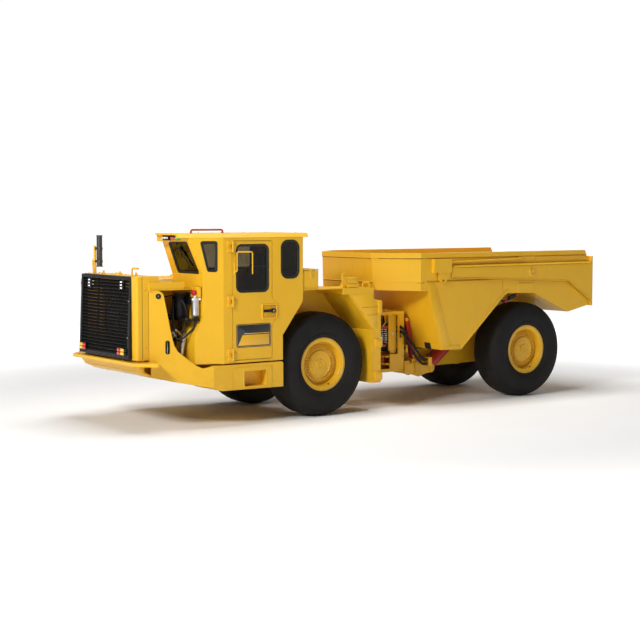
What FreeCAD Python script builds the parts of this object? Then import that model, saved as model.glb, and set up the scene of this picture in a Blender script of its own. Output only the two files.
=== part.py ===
import FreeCAD, Part
import os, math

# Articulated low-profile dump truck for mines.
# Millimetres. +X forward, +Y to the truck's left, +Z up.
# Every station is laid out from the front axle's centre line, the truck's
# middle plane and the ground; emit() moves the whole truck along X so that
# the origin lies on the ground under the middle of its length.

V = FreeCAD.Vector
os.makedirs("parts", exist_ok=True)

# ---------------------------------------------------------------- dimensions
SHIFT_X = 1067.5          # front axle ahead of the origin
WHEELBASE = 3596.0
REAR_X = -WHEELBASE
TYRE_R = 672.0
TRACK_HALF = 747.0
AXLE_Z = TYRE_R
SIDE_Y = 1034.0           # outer face of cab, side frames and body
HITCH_X = -1270.0         # steering hinge
CAB_IN_Y = 205.0          # cab wall beside the hood
CAB_T = 30.0              # cab wall
CAB_Z0, CAB_Z1 = 779.0, 2315.0
CHAMFER_X = 1561.0        # where the cab's side turns inwards
FLARE = (715.0, -284.0)   # direction of cheek plates and cab corner, seen from above
HOOD_HALF = 750.0
HOOD_L = 175.0            # hood wall beside the cab
HOOD_Z = 1790.0
RAIL_IN, RAIL_OUT = 415.0, 440.0       # front frame rails
REAR_RAIL = (200.0, 240.0)
ARCH_Y = 445.0            # inner face of tanks and fender boxes
PLATE = 30.0
ROOF_Z = 2368.0
PIVOT_X, PIVOT_Z = -4250.0, 1050.0     # body tipping pin
HOIST_B = (-2200.0, 450.0)             # hoist barrel pin
HOIST_E = (-3300.0, 1280.0)            # hoist rod eye
HOIST_Y = 380.0
STEER_Z = 600.0
STEER_B = (-450.0, 270.0)              # steering barrel pin (left)
STEER_E = (-1450.0, 340.0)             # steering rod eye (left)
GATE_X, GATE_Z = -3580.0, 1790.0       # tailgate arm pin
BODY_TOP = 2080.0
BODY_T = 16.0
DOOR_HINGE = (1437.0, 1056.0)
GRILLE_HINGE = (2575.0, -735.0)
LID_HINGE = (624.0, 1901.0)            # y, z
GATE_PLATE = (-4808.0, -4782.0)
FIT = 0.05                             # radial running clearance

# ---------------------------------------------------------------- helpers
def box(x0, x1, y0, y1, z0, z1):
    return Part.makeBox(x1 - x0, y1 - y0, z1 - z0, V(x0, y0, z0))

def face(pts):
    return Part.Face(Part.makePolygon([V(*p) for p in pts] + [V(*pts[0])]))

def pxz(pts, y0, y1):
    return face([(x, y0, z) for x, z in pts]).extrude(V(0, y1 - y0, 0))

def pxy(pts, z0, z1):
    return face([(x, y, z0) for x, y in pts]).extrude(V(0, 0, z1 - z0))

def pyz(pts, x0, x1):
    return face([(x0, y, z) for y, z in pts]).extrude(V(x1 - x0, 0, 0))

def cyl(p, d, r, h):
    return Part.makeCylinder(r, h, V(*p), V(*d))

def rod(a, b, r):
    a, b = V(*a), V(*b)
    return Part.makeCylinder(r, (b - a).Length, a, b - a)

def fuse(shapes):
    s = shapes[0]
    if len(shapes) > 1:
        s = s.multiFuse(shapes[1:])
    return s.removeSplitter()

def mirror(s):
    return s.mirror(V(0, 0, 0), V(0, 1, 0))

def both(s):
    return [s, mirror(s)]

def rounded(pts, rads):
    """Closed 2-D outline with a fillet at each corner: list of edges in (u, v)."""
    n = len(pts)
    out = []
    for i in range(n):
        p0, p1, p2 = pts[i - 1], pts[i], pts[(i + 1) % n]
        r = rads[i] if isinstance(rads, (list, tuple)) else rads
        a = (p0[0] - p1[0], p0[1] - p1[1])
        b = (p2[0] - p1[0], p2[1] - p1[1])
        la, lb = math.hypot(*a), math.hypot(*b)
        a = (a[0] / la, a[1] / la)
        b = (b[0] / lb, b[1] / lb)
        c = max(-1, min(1, a[0] * b[0] + a[1] * b[1]))
        ang = math.acos(c)
        if r <= 0 or ang > math.pi - 1e-4:
            out.append((p1, p1, p1))
            continue
        t = min(r / math.tan(ang / 2), la * 0.499, lb * 0.499)
        r = t * math.tan(ang / 2)
        s = (p1[0] + a[0] * t, p1[1] + a[1] * t)
        e = (p1[0] + b[0] * t, p1[1] + b[1] * t)
        m = (a[0] + b[0], a[1] + b[1])
        lm = math.hypot(*m)
        k = r / math.sin(ang / 2) - r
        mid = (p1[0] + m[0] / lm * k, p1[1] + m[1] / lm * k)
        out.append((s, mid, e))
    return out

def rface(pts, rads, to3):
    segs = rounded(pts, rads)
    edges = []
    n = len(segs)
    for i in range(n):
        s, m, e = segs[i]
        if s != e:
            edges.append(Part.Arc(to3(s), to3(m), to3(e)).toShape())
        nx = segs[(i + 1) % n][0]
        if math.hypot(nx[0] - e[0], nx[1] - e[1]) > 1e-6:
            edges.append(Part.LineSegment(to3(e), to3(nx)).toShape())
    return Part.Face(Part.Wire(edges))

def rxz(pts, rads, y0, y1):
    return rface(pts, rads, lambda p: V(p[0], y0, p[1])).extrude(V(0, y1 - y0, 0))

def rxy(pts, rads, z0, z1):
    return rface(pts, rads, lambda p: V(p[0], p[1], z0)).extrude(V(0, 0, z1 - z0))

def ryz(pts, rads, x0, x1):
    return rface(pts, rads, lambda p: V(x0, p[0], p[1])).extrude(V(x1 - x0, 0, 0))

def onplane(o, u, w, pts, rads, depth, start=0.0):
    """Outline in a plane with origin o, axes u and w (unit), pushed along u x w."""
    o, u, w = V(*o), V(*u), V(*w)
    n = u.cross(w)
    o = o + n * start
    return rface(pts, rads, lambda p: o + u * p[0] + w * p[1]).extrude(n * depth)

def revolve_y(profile, x, z, y0, sign=1):
    """profile: list of (r, a); a is measured along +Y*sign from y0."""
    f = face([(x + r, y0 + sign * a, z) for r, a in profile])
    return f.revolve(V(x, y0, z), V(0, 1, 0), 360)

def pipe(pts, r, bend):
    """Round bar along straight runs joined by tangent arcs."""
    pts = [V(*p) for p in pts]
    edges = []
    cur = pts[0]
    rad = []
    for i in range(1, len(pts) - 1):
        a = (pts[i - 1] - pts[i]).normalize()
        b = (pts[i + 1] - pts[i]).normalize()
        ang = a.getAngle(b)
        la = (pts[i - 1] - pts[i]).Length
        lb = (pts[i + 1] - pts[i]).Length
        rr = bend if bend else 0.45 * min(la, lb) * math.tan(ang / 2)
        t = rr / math.tan(ang / 2)
        s = pts[i] + a * t
        e = pts[i] + b * t
        mid = pts[i] + (a + b).normalize() * (rr / math.sin(ang / 2) - rr)
        edges.append(Part.LineSegment(cur, s).toShape())
        edges.append(Part.Arc(s, mid, e).toShape())
        rad.append(rr)
        cur = e
    edges.append(Part.LineSegment(cur, pts[-1]).toShape())
    w = Part.Wire(edges)
    d = pts[1] - pts[0]
    c = Part.Wire([Part.Circle(pts[0], d, r).toShape()])
    s = w.makePipeShell([c], True, False)
    return s, rad, w.Length

NODES = []

def emit(name, shape):
    solids = shape.Solids if hasattr(shape, "Solids") else []
    shape = shape.copy()
    shape.translate(V(SHIFT_X, 0, 0))
    if not shape.isValid():
        print("INVALID", name)
    shape.exportStep("parts/%s.step" % name)
    b = shape.BoundBox
    NODES.append(name)
    print("%-20s solids %d vol %.4f m3 x %.0f..%.0f y %.0f..%.0f z %.0f..%.0f" % (
        name, len(solids), shape.Volume / 1e9, b.XMin, b.XMax, b.YMin, b.YMax, b.ZMin, b.ZMax))

# ---------------------------------------------------------------- wheels
# (r, a): a runs outwards from the wheel's centre plane
def rim(x, sign):
    prof = [
        (333, -196), (355.5, -200), (355.5, -192), (333, -184), (333, 184), (355.5, 192), (355.5, 200), (340, 200), (338, 196), (322, 196),
        (318, 190), (290, 184), (286, 178), (274, 96), (256, 82), (240, 84), (228, 96), (228, 112),
        (176, 112), (176, 134), (172, 138), (160, 138), (158, 134), (152, 134), (150, 137), (70, 137), (64, 143),
        (20, 143), (20, 148), (0, 148), (0, 70), (70 + FIT, 70), (70 + FIT, -120), (105, -120), (150, -60),
        (232, -60), (262, 40), (302, 40), (306, -186)]
    return revolve_y(prof, x, AXLE_Z, sign * TRACK_HALF, sign)

TYRE_PROF = [
    (333, -184), (355.5, -192), (356, -206), (380, -222), (430, -247), (490, -260), (545, -258), (600, -247),
    (640, -232), (660, -212), (669, -190), (672, -150), (672, 150), (669, 190), (660, 212),
    (640, 232), (600, 247), (545, 258), (490, 260), (430, 247), (380, 222), (356, 206), (355.5, 192), (333, 184)]

for wx, tag in ((0.0, "front"), (REAR_X, "rear")):
    for sg, side in ((1, "left"), (-1, "right")):
        emit("%s_wheel_%s" % (tag, side), rim(wx, sg))
        emit("%s_tyre_%s" % (tag, side), revolve_y(TYRE_PROF, wx, AXLE_Z, sg * TRACK_HALF, sg))

def yy(sg, a, b):
    """y range on the left (sg 1) or right (sg -1) side."""
    return (a, b) if sg > 0 else (-b, -a)

# ---------------------------------------------------------------- axles
def axle(x):
    parts = [cyl((x, -560, AXLE_Z), (0, 1, 0), 105, 1120)]
    for sg in (1, -1):
        # brake housing and the spindle that the hub turns on
        parts.append(revolve_y([(0, -380), (105, -380), (105, -300), (150, -240), (150, -195), (95, -150), (70, -150), (70, 62), (0, 62)],
                               x, AXLE_Z, sg * TRACK_HALF, sg))
    parts.append(Part.makeSphere(215, V(x, 0, AXLE_Z)))
    parts.append(Part.makeCone(150, 70, 330, V(x, 0, AXLE_Z), V(1, 0, 0)))
    return parts

fa = axle(0.0)
for sg in (1, -1):
    fa.append(box(-110, 110, *yy(sg, 300, RAIL_IN), AXLE_Z - 150, AXLE_Z + 150))
emit("front_axle", fuse(fa))

ra = axle(REAR_X)
for sg in (1, -1):
    ra.append(box(REAR_X - 110, REAR_X + 110, *yy(sg, REAR_RAIL[1], 330), AXLE_Z - 150, AXLE_Z + 150))
emit("rear_axle", fuse(ra))

# ---------------------------------------------------------------- front frame
RAIL_PTS = [(-880, 470), (700, 470), (1700, 520), (2380, 680), (2490, 740), (2490, 900), (2060, 900), (1930, 770),
            (670, 770), (600, 900), (-880, 900)]
ff = []
for sg in (1, -1):
    y0, y1 = yy(sg, RAIL_IN, RAIL_OUT)
    ff.append(pxz(RAIL_PTS, y0, y1).cut(cyl((0, y0 - 1, AXLE_Z), (0, 1, 0), 112, y1 - y0 + 2)))
ff += [
    box(2420, 2460, -RAIL_IN, RAIL_IN, 720, 900),
    box(700, 740, -RAIL_IN, RAIL_IN, 520, 770),
    box(-360, -320, -RAIL_IN, RAIL_IN, 520, 850),
    # rear bulkhead that carries the hitch ears
    box(-880, -840, -ARCH_Y, ARCH_Y, 470, 1280),
    # cab rests
    box(760, 860, RAIL_IN, RAIL_OUT, 770, CAB_Z0),
    box(1780, 1870, RAIL_IN, RAIL_OUT, 770, CAB_Z0),
]
EAR_LOW, EAR_HIGH = (480.0, 520.0), (1080.0, 1120.0)
def ear(z0, z1, r, x0, half):
    """Plate that tapers from a bulkhead to the steering hinge."""
    s = 1 if x0 > HITCH_X else -1
    return fuse([pxy([(x0, -half), (x0, half), (HITCH_X + s * 40, r), (HITCH_X + s * 40, -r)], z0, z1),
                 cyl((HITCH_X, 0, z0), (0, 0, 1), r, z1 - z0)])
ff += [ear(*EAR_LOW, 115, -850, 330), ear(*EAR_HIGH, 115, -850, 330)]
ff += [cyl((HITCH_X, 0, EAR_LOW[0] - 8), (0, 0, 1), 50, 118), cyl((HITCH_X, 0, EAR_HIGH[1] - 110), (0, 0, 1), 50, 118)]
for sg in (1, -1):
    bx, by = STEER_B[0], sg * STEER_B[1]
    for z0 in (STEER_Z - 77, STEER_Z + 52):
        ff.append(box(bx, -350, by - 45, by + 45, z0, z0 + 25))
        ff.append(cyl((bx, by, z0), (0, 0, 1), 45, 25))
    ff.append(cyl((bx, by, STEER_Z - 77), (0, 0, 1), 22, 154))
front_frame = fuse(ff)
# the shaft and the steering barrels pass through the bulkhead
front_frame = front_frame.cut(box(-900, -845, -210, 210, 560, 1060)).cut(box(-845.5, -820, -210, 210, 560, 1060))
for sg in (1, -1):
    front_frame = front_frame.cut(box(-900, -820, *yy(sg, 185, 412), 525, 700))
emit("front_frame", front_frame)

# ---------------------------------------------------------------- side frames: flared cheek plates and low side boxes
CH_A = (2415.0, 750.0)
CH_B = (1700.0, SIDE_Y)
clen = math.hypot(*FLARE)
cu = (-FLARE[0] / clen, -FLARE[1] / clen, 0)          # rearwards and outwards
cn = (-FLARE[1] / clen, FLARE[0] / clen, 0)           # outwards

def cs(x):
    return (CH_A[0] - x) / FLARE[0] * clen

def flare_y(x, off=0.0):
    """y of the cheek's outer face at x, off millimetres inside it."""
    return CH_A[1] + (CH_A[0] - x) * -FLARE[1] / FLARE[0] - off / cn[1]

cheek_pts = [(cs(2415), 642), (cs(2415), 1686), (cs(2328), 1686), (cs(2273), 1659), (cs(2230), 1429), (cs(2187), 1175),
             (cs(2154), 1029), (cs(2109), 943), (cs(2020), 868), (cs(1918), 780), (cs(1828), 732), (cs(1700), 760),
             (cs(1700), 487), (cs(2161), 580)]
cheek_r = [0, 0, 60, 60, 80, 60, 80, 80, 80, 60, 60, 0, 0, 80]
cheek = onplane((CH_A[0], CH_A[1], 0), cu, (0, 0, 1), cheek_pts, cheek_r, -PLATE)
hole_s = cs(2327)
cheek = cheek.cut(Part.makeCylinder(24, 200, V(CH_A[0] + cu[0] * hole_s + cn[0] * 90, CH_A[1] + cu[1] * hole_s + cn[1] * 90, 1619), V(-cn[0], -cn[1], 0)))
slot_s = cs(2227)
cheek = cheek.cut(onplane((CH_A[0], CH_A[1], 0), cu, (0, 0, 1), [(slot_s - 22, 922), (slot_s + 22, 922), (slot_s + 22, 1079), (slot_s - 22, 1079)], 20, -120, 40))
# bent return of the cheek across the front
ret = rxy([(2410, RAIL_OUT + 1), (2440, RAIL_OUT + 1), (2440, flare_y(2440)), (2380, flare_y(2380)), (2369, flare_y(2369, PLATE)), (2410, flare_y(2410, PLATE))],
          [0, 0, 30, 0, 0, 0], 830, 1686)
tank = pxz([(682, 443), (1586, 446), (1700, 487), (1700, 760), (700, 760), (682, 740)], RAIL_OUT, SIDE_Y)
step = rxz([(935, 477), (1268, 477), (1268, 673), (935, 673)], 20, 904, 1040)
tank = tank.cut(step)
pan = pxy([(1695, RAIL_OUT), (2330, RAIL_OUT), (2330, flare_y(2330, PLATE - 4)), (1695, flare_y(1695, PLATE - 4))], 640, 655)
left_side = fuse([cheek, ret, tank, pan])
right_side = mirror(left_side)
left_side = fuse([left_side, box(800, 860, 900, 960, 760, CAB_Z0), box(1500, 1560, 900, 960, 760, CAB_Z0)])
emit("side_frames", Part.makeCompound([left_side, right_side]))

# ---------------------------------------------------------------- front bumper
fy = flare_y(2345)
shelf = rxy([(2673, -820), (2673, 820), (2480, 1030), (2440, 1030), (2345, fy), (2415, 750), (2450, 745), (2450, 700),
             (2500, 700), (2500, -700), (2450, -700), (2450, -745), (2415, -750), (2345, -fy), (2440, -1030), (2480, -1030)],
            [25, 25, 20, 20, 0, 0, 0, 0, 0, 0, 0, 0, 0, 0, 20, 20], 790, 830)
front_plate = pxz([(2600, 791), (2533, 699), (2503, 699), (2570, 791)], -748, 748)
belly = pxz([(2533, 699), (2415, 642), (2380, 640), (2380, 655), (2500, 712)], -715, 715)
emit("front_bumper", fuse([shelf, front_plate, belly, box(2490, 2545, -715, 715, 699, 850)]))

# ---------------------------------------------------------------- hood
W = 20.0
hood = fuse([
    box(-250, 2440, -HOOD_HALF, HOOD_L, HOOD_Z - W, HOOD_Z),
    box(-250, -230, -HOOD_HALF, HOOD_L, 1500, HOOD_Z),
    box(-250, 2300, HOOD_L - W, HOOD_L, 1500, HOOD_Z),
    box(700, 2300, HOOD_L - W, HOOD_L, 905, HOOD_Z),
    box(-250, 2405, -HOOD_HALF, -HOOD_HALF + W, 1500, HOOD_Z),
    box(700, 2405, -HOOD_HALF, -HOOD_HALF + W, 905, HOOD_Z),
    box(700, 1690, -HOOD_HALF, -HOOD_HALF + W, 760, HOOD_Z),
    box(-250, 710, -HOOD_HALF, -425, 1500, 1512),
])
shoulder = fuse([box(1948, 2440, HOOD_L, 760, 1698, HOOD_Z), box(1862, 2440, HOOD_L, 775, 1686, 1698)]).cut(
    box(1972, 2416, HOOD_L + W, 740, 1680, HOOD_Z - W))
hood = fuse([hood, shoulder])
# room for the cheek plates and their returns
slab = onplane((CH_A[0], CH_A[1], 0), cu, (0, 0, 1), [(-60, 600), (cs(2200), 600), (cs(2200), 1686), (-60, 1686)], 0, -PLATE - 2, 1)
for s in both(slab):
    hood = hood.cut(s)
emit("hood", hood)

# front cowl: posts each side of the radiator and the cap over it
cowl = fuse([
    rxy([(2530, 620), (2600, 620), (2600, 745), (2530, 745)], [0, 0, 28, 0], 850, 1856),
    box(2440, 2532, 717, 745, 850, HOOD_Z),
    box(2440, 2535, -745, -717, 850, HOOD_Z),
    box(2505, 2535, -745, -700, 850, 1856),
    box(2300, 2532, -745, 745, HOOD_Z, 1856).cut(box(2320, 2512, -725, 725, HOOD_Z - 1, 1838)),
])
for z0, z1 in ((930, 1010), (1690, 1770)):
    # hinge knuckles for the grille: outer thirds here, the middle on the grille
    h3 = (z1 - z0 - 4) / 3
    for a in (z0, z1 - h3):
        cowl = fuse([cowl, cyl((GRILLE_HINGE[0], GRILLE_HINGE[1], a), (0, 0, 1), 14, h3),
                     box(2530, GRILLE_HINGE[0], -749, -738, a, a + h3)])
    cowl = fuse([cowl, cyl((GRILLE_HINGE[0], GRILLE_HINGE[1], z0), (0, 0, 1), 7, z1 - z0)])
emit("radiator_cowl", cowl)

emit("radiator", box(2300, 2400, -590, 590, 910, 1680))
emit("engine_block", fuse([box(950, 2150, -370, 150, 700, 1500), box(1100, 2000, -300, 100, 1500, 1640)]))
emit("transmission", fuse([
    box(330, 690, -180, 180, 600, 1250),
    cyl((690, -60, 1000), (1, 0, 0), 60, 260),
    rod((340, 0, 980), (-1180, 0, 831), 45),
    cyl((-1195, 0, 830), (1, 0, 0), 70, 20),
    rod((-1190, 0, 830), (HITCH_X, 0, 822), 25),
    Part.makeSphere(34, V(HITCH_X, 0, 822))]))

# ---------------------------------------------------------------- cab
def flare_cut(s, off):
    """Cuts away what stands outside the cab's forward side plane."""
    y0 = SIDE_Y - off
    x0 = CHAMFER_X - off * (1 - cn[1]) / cn[0]
    return s.cut(pxy([(x0, y0), (x0 + 2 * FLARE[0], y0 + 2 * FLARE[1]), (x0 + 2 * FLARE[0], y0 + 300), (x0, y0 + 300)], 700, 2500))

CAB = [(1889, CAB_Z0), (1889, 1160), (1793, 1345), (1797, 1872), (1950, CAB_Z1), (378, CAB_Z1), (378, 1507), (688, 1091), (688, CAB_Z0)]
CAB_IN = [(1859, CAB_Z0 + CAB_T), (1859, 1152.7), (1763, 1337.7), (1767, 1877), (1921.7, CAB_Z1 + 10), (408, CAB_Z1 + 10), (408, 1517), (718, 1101), (718, CAB_Z0 + CAB_T)]
cab = flare_cut(pxz(CAB, CAB_IN_Y, SIDE_Y), 0).cut(flare_cut(pxz(CAB_IN, CAB_IN_Y + CAB_T, SIDE_Y - CAB_T), CAB_T))
hx, hy = DOOR_HINGE
DOOR = [(hx, 2280), (843, 2280), (843, 1561), (762, 1508), (762, 1332), (845, 1248), (845, 809), (hx, 809)]
cab = cab.cut(rxz(DOOR, [30, 30, 0, 20, 20, 0, 20, 20], SIDE_Y - 60, SIDE_Y + 10))
cap_win = [(438, 1800), (713, 1800), (713, 2281), (438, 2281)]
in_win = [(620, 1900), (1640, 1900), (1760, 2250), (620, 2250)]
rear_win = [(330, 1850), (900, 1850), (900, 2250), (330, 2250)]
cab = cab.cut(rxz(cap_win, 100, SIDE_Y - 60, SIDE_Y + 10))
cab = cab.cut(rxz(in_win, 50, CAB_IN_Y - 10, CAB_IN_Y + 60))
cab = cab.cut(ryz(rear_win, 60, 360, 420))
wl = math.hypot(153, 443)
wu = (153 / wl, 0, 443 / wl)
ws_o = (1797.0, 0.0, 1872.0)
ws_pts = [(359, 10), (871, 10), (795, 418), (349, 408)]
cab = cab.cut(onplane(ws_o, (0, 1, 0), wu, ws_pts, 35, 120, -80))
# corner pane in the flared panel; s runs rearwards from the cheek's own origin
CO = (CHAMFER_X, SIDE_Y, 0)
fwd = (-cu[0], -cu[1], 0)
def cf(x):
    return (x - CHAMFER_X) / FLARE[0] * clen
# u forwards x w up points inwards
cp_pts = [(cf(1633), 1905), (cf(1742), 1909), (cf(1825), 2273), (cf(1632), 2272)]
cab = cab.cut(onplane(CO, fwd, (0, 0, 1), cp_pts, 25, 120, -60))
HINGES = ((2142, 2277), (1470, 1608), (806, 959))
knuckles = []
for z0, z1 in HINGES:
    h3 = (z1 - z0 - 4) / 3
    for a in (z0, z1 - h3):
        knuckles += [cyl((hx, hy, a), (0, 0, 1), 13, h3), box(hx, hx + 6, 1044, 1060, a, a + h3), box(hx + 5, hx + 69, SIDE_Y, 1060, a, a + h3)]
    knuckles.append(cyl((hx, hy, z0), (0, 0, 1), 8, z1 - z0))
cab = fuse([cab] + knuckles)
emit("cab_shell", cab)

emit("cab_glass", Part.makeCompound([
    rxz(cap_win, 100, SIDE_Y - 20, SIDE_Y - 12),
    rxz(in_win, 50, CAB_IN_Y + 11, CAB_IN_Y + 19),
    ryz(rear_win, 60, 389, 397),
    onplane(ws_o, (0, 1, 0), wu, ws_pts, 35, 8, -18),
    onplane(CO, fwd, (0, 0, 1), cp_pts, 25, 8, 12)]))

# roof plate with bevelled left and corner edges, thin over the windscreen
roof = rxy([(285, 1036), (CHAMFER_X, 1036), (2045, flare_y(2045) + 57), (2072, 790), (2079, 264), (1900, 190), (285, 190)],
           [40, 0, 0, 20, 30, 60, 60], CAB_Z1, ROOF_Z)
roof = roof.cut(onplane(CO, cn, (0, 0, 1), [(1.5, 2300), (1.5, 2318), (-40, ROOF_Z + 1), (300, ROOF_Z + 1), (300, 2300)], 0, 800, -120))
roof = roof.cut(pyz([(1036, 2318), (990, ROOF_Z + 1), (1100, ROOF_Z + 1), (1100, 2318)], 200, 2200))
roof = roof.cut(pxy([(1965, 150), (2150, 150), (2150, 740), (1965, 809)], 2300, 2348))
eye = ryz([(244, 2268), (392, 2268), (392, 2349), (244, 2349)], [20, 20, 0, 0], 2022, 2034).cut(cyl((2010, 325, 2308), (1, 0, 0), 15, 40))
roof = fuse([roof, eye])
for ex, ey, ez in ((1560, 950, 2328), (330, 950, 2300), (1995, 310, 2300), (330, 250, 2300)):
    roof = roof.cut(cyl((ex, ey, ez), (0, 0, 1), 20, 100))
emit("cab_roof", roof)

rail, _, _ = pipe([(1300, 600, ROOF_Z), (1300, 600, 2410), (1758, 600, 2410), (1758, 600, ROOF_Z)], 12, 26)
emit("roof_handrail", rail)

seat = fuse([rxz([(800, 1180), (1270, 1200), (1270, 1310), (800, 1290)], [0, 50, 50, 0], 410, 890),
             rxz([(735, 1180), (900, 1180), (868, 1960), (760, 1960)], [30, 30, 40, 40], 420, 880),
             rxz([(752, 1950), (872, 1950), (872, 2115), (752, 2115)], [0, 0, 35, 35], 500, 800),
             box(800, 1180, 480, 820, 1100, 1190), box(900, 1100, 560, 740, CAB_Z0 + CAB_T, 1110)])
emit("operator_seat", seat)
emit("dash_console", pxz([(1480, 809), (1740, 809), (1740, 1330), (1745, 1700), (1680, 1745), (1560, 1660), (1545, 1560), (1640, 1480), (1640, 900), (1480, 850)], 330, 800))

# door: as thick as the wall, its window cut, hinge knuckles on the front edge
door = rxz([(hx - 5, 2275), (848, 2275), (848, 1564), (767, 1511), (767, 1329), (850, 1245), (850, 814), (hx - 5, 814)],
           [26, 26, 0, 16, 16, 0, 16, 16], SIDE_Y - CAB_T, SIDE_Y)
win = [(1377, 1644), (901, 1644), (901, 2233), (1377, 2233)]
door = door.cut(rxz(win, 75, SIDE_Y - 60, SIDE_Y + 10))
dk = []
for z0, z1 in HINGES:
    h3 = (z1 - z0 - 4) / 3
    a, b = z0 + h3 + 2, z1 - h3 - 2
    dk += [cyl((hx, hy, a), (0, 0, 1), 13, b - a), box(hx - 31, hx, 1044, 1060, a, b), box(hx - 31, hx - 5, SIDE_Y, 1060, a, b)]
door = fuse([door] + dk)
for z0, z1 in HINGES:
    door = door.cut(cyl((hx, hy, z0 - 5), (0, 0, 1), 8 + FIT, z1 - z0 + 10))
emit("cab_door", door)
emit("door_glass", rxz(win, 75, SIDE_Y - 20, SIDE_Y - 12))

# ---------------------------------------------------------------- fender boxes behind the front wheels, deck plates
FEND = [(-256, 1653), (-757, 1641), (-757, 1495), (-878, 1470), (-878, 387), (-733, 387), (-733, 1074), (-748, 1086), (-369, 1533), (-353, 1572), (-256, 1572)]
fend = pxz(FEND, ARCH_Y, SIDE_Y)
left = fuse([fend, pxz([(-735, 900), (680, 900), (680, 1082), (370, 1498), (370, 1641), (-735, 1641)], 425, ARCH_Y),
             box(-256, 374, HOOD_L, SIDE_Y, 1641, 1653)])
right = fuse([mirror(fend), pxz([(-735, 900), (690, 900), (690, 1500), (-735, 1500)], -ARCH_Y, -425),
              box(-256, 2100, -SIDE_Y, -HOOD_HALF, 1641, 1653)])
emit("rear_fenders", Part.makeCompound([left, right]))

tb = box(130, 366, 630, 1020, 1653, 1890).cut(box(136, 360, 636, 1014, 1659, 1900))
ly, lz = LID_HINGE
lid = box(126, 370, 637, 1024, 1895, 1907)
for x0 in (160, 290):
    tb = fuse([tb, box(x0, x0 + 15, 616, 631, 1866, 1899), cyl((x0, ly, lz), (1, 0, 0), 8, 15),
               box(x0 + 39, x0 + 54, 616, 631, 1866, 1899), cyl((x0 + 39, ly, lz), (1, 0, 0), 8, 15),
               cyl((x0, ly, lz), (1, 0, 0), 4, 54)])
    lid = fuse([lid, cyl((x0 + 17, ly, lz), (1, 0, 0), 8, 20), box(x0 + 17, x0 + 37, ly + 2, 638, lz - 4, lz + 4)])
for x0 in (160, 290):
    lid = lid.cut(cyl((x0 - 5, ly, lz), (1, 0, 0), 4 + FIT, 64))
emit("toolbox", tb)
emit("toolbox_lid", lid)

emit("hydraulic_tank", pxz([(705, 760), (1500, 760), (1500, 1641), (395, 1641), (395, 1510), (705, 1095)], -SIDE_Y, -HOOD_HALF - 2))

# ---------------------------------------------------------------- service pieces
emit("filter_pack", fuse([box(1820, 1990, HOOD_L, 850, 1310, 1330), cyl((1905, 571, 1325), (0, 0, 1), 88, 275),
                          box(1820, 1880, 849, 905, 1310, 1330), cyl((1857, 860, 1325), (0, 0, 1), 26, 60), cyl((1857, 860, 1378), (0, 0, 1), 48, 184),
                          box(1808, 1840, 715, 922, 1596, 1720), box(1808, 1850, 560, 716, 1500, 1640)]))
stack = fuse([cyl((2420, -545, 1940), (0, 0, 1), 36, 397), box(2414, 2426, -690, -650, 1856, 2204),
              box(2410, 2430, -660, -545, 2150, 2185), box(2410, 2430, -660, -545, 1990, 2020)])
emit("exhaust_stack", stack.cut(cyl((2420, -545, 2300), (0, 0, 1), 32, 60)))

# ---------------------------------------------------------------- grille door
def gx(z):
    return 2646 - (z - 862) * 46.0 / 990.0
GY0, GY1 = -690.0, 612.0
gd = pxz([(gx(862), 862), (gx(1852), 1852), (2540, 1852), (2540, 862)], GY0, GY1)
gd = gd.cut(pxz([(2700, 905), (2700, 1812), (2500, 1812), (2500, 905)], GY0 + 40, GY1 - 40))
gparts = [gd]
PITCH = 907.0 / 22
for i in range(22):
    z = 905 + PITCH * i + 2
    x = gx(z) - 6
    gparts.append(pxz([(x, z), (x, z + 4), (x - 36, z + 32), (x - 36, z + 28)], GY0 + 38, GY1 - 38))
for a, b in ((-306, -290), (252, 268)):
    gparts.append(pxz([(gx(900) - 56, 900), (gx(900) - 36, 900), (gx(1816) - 36, 1816), (gx(1816) - 56, 1816)], a, b))
for z0, z1 in ((930, 1010), (1690, 1770)):
    h3 = (z1 - z0 - 4) / 3
    a, b = z0 + h3 + 2, z1 - h3 - 2
    gparts += [cyl((GRILLE_HINGE[0], GRILLE_HINGE[1], a), (0, 0, 1), 14, b - a),
               box(GRILLE_HINGE[0] - 8, GRILLE_HINGE[0] + 8, GRILLE_HINGE[1], GY0 + 1, a, b)]
gd = fuse(gparts)
for z0, z1 in ((930, 1010), (1690, 1770)):
    gd = gd.cut(cyl((GRILLE_HINGE[0], GRILLE_HINGE[1], z0 - 5), (0, 0, 1), 7 + FIT, z1 - z0 + 10))
emit("grille_door", gd)

# ---------------------------------------------------------------- steering cylinders
def steer(sg):
    bx, by = STEER_B
    ex, ey = STEER_E
    by, ey = sg * by, sg * ey
    L = math.hypot(ex - bx, ey - by)
    u = ((ex - bx) / L, (ey - by) / L, 0)
    def at(s):
        return (bx + u[0] * s, by + u[1] * s, STEER_Z)
    barrel = fuse([cyl((bx, by, STEER_Z - 40), (0, 0, 1), 42, 80), rod(at(30), at(640), 48)])
    barrel = barrel.cut(cyl((bx, by, STEER_Z - 60), (0, 0, 1), 22 + FIT, 120))
    barrel = barrel.cut(rod(at(70), at(660), 25 + FIT))
    r = fuse([rod(at(300), at(L - 30), 25), cyl((ex, ey, STEER_Z - 35), (0, 0, 1), 42, 70)])
    return barrel, r
for sg, side in ((1, "left"), (-1, "right")):
    b, r = steer(sg)
    emit("steer_barrel_%s" % side, b)
    emit("steer_rod_%s" % side, r)

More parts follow.
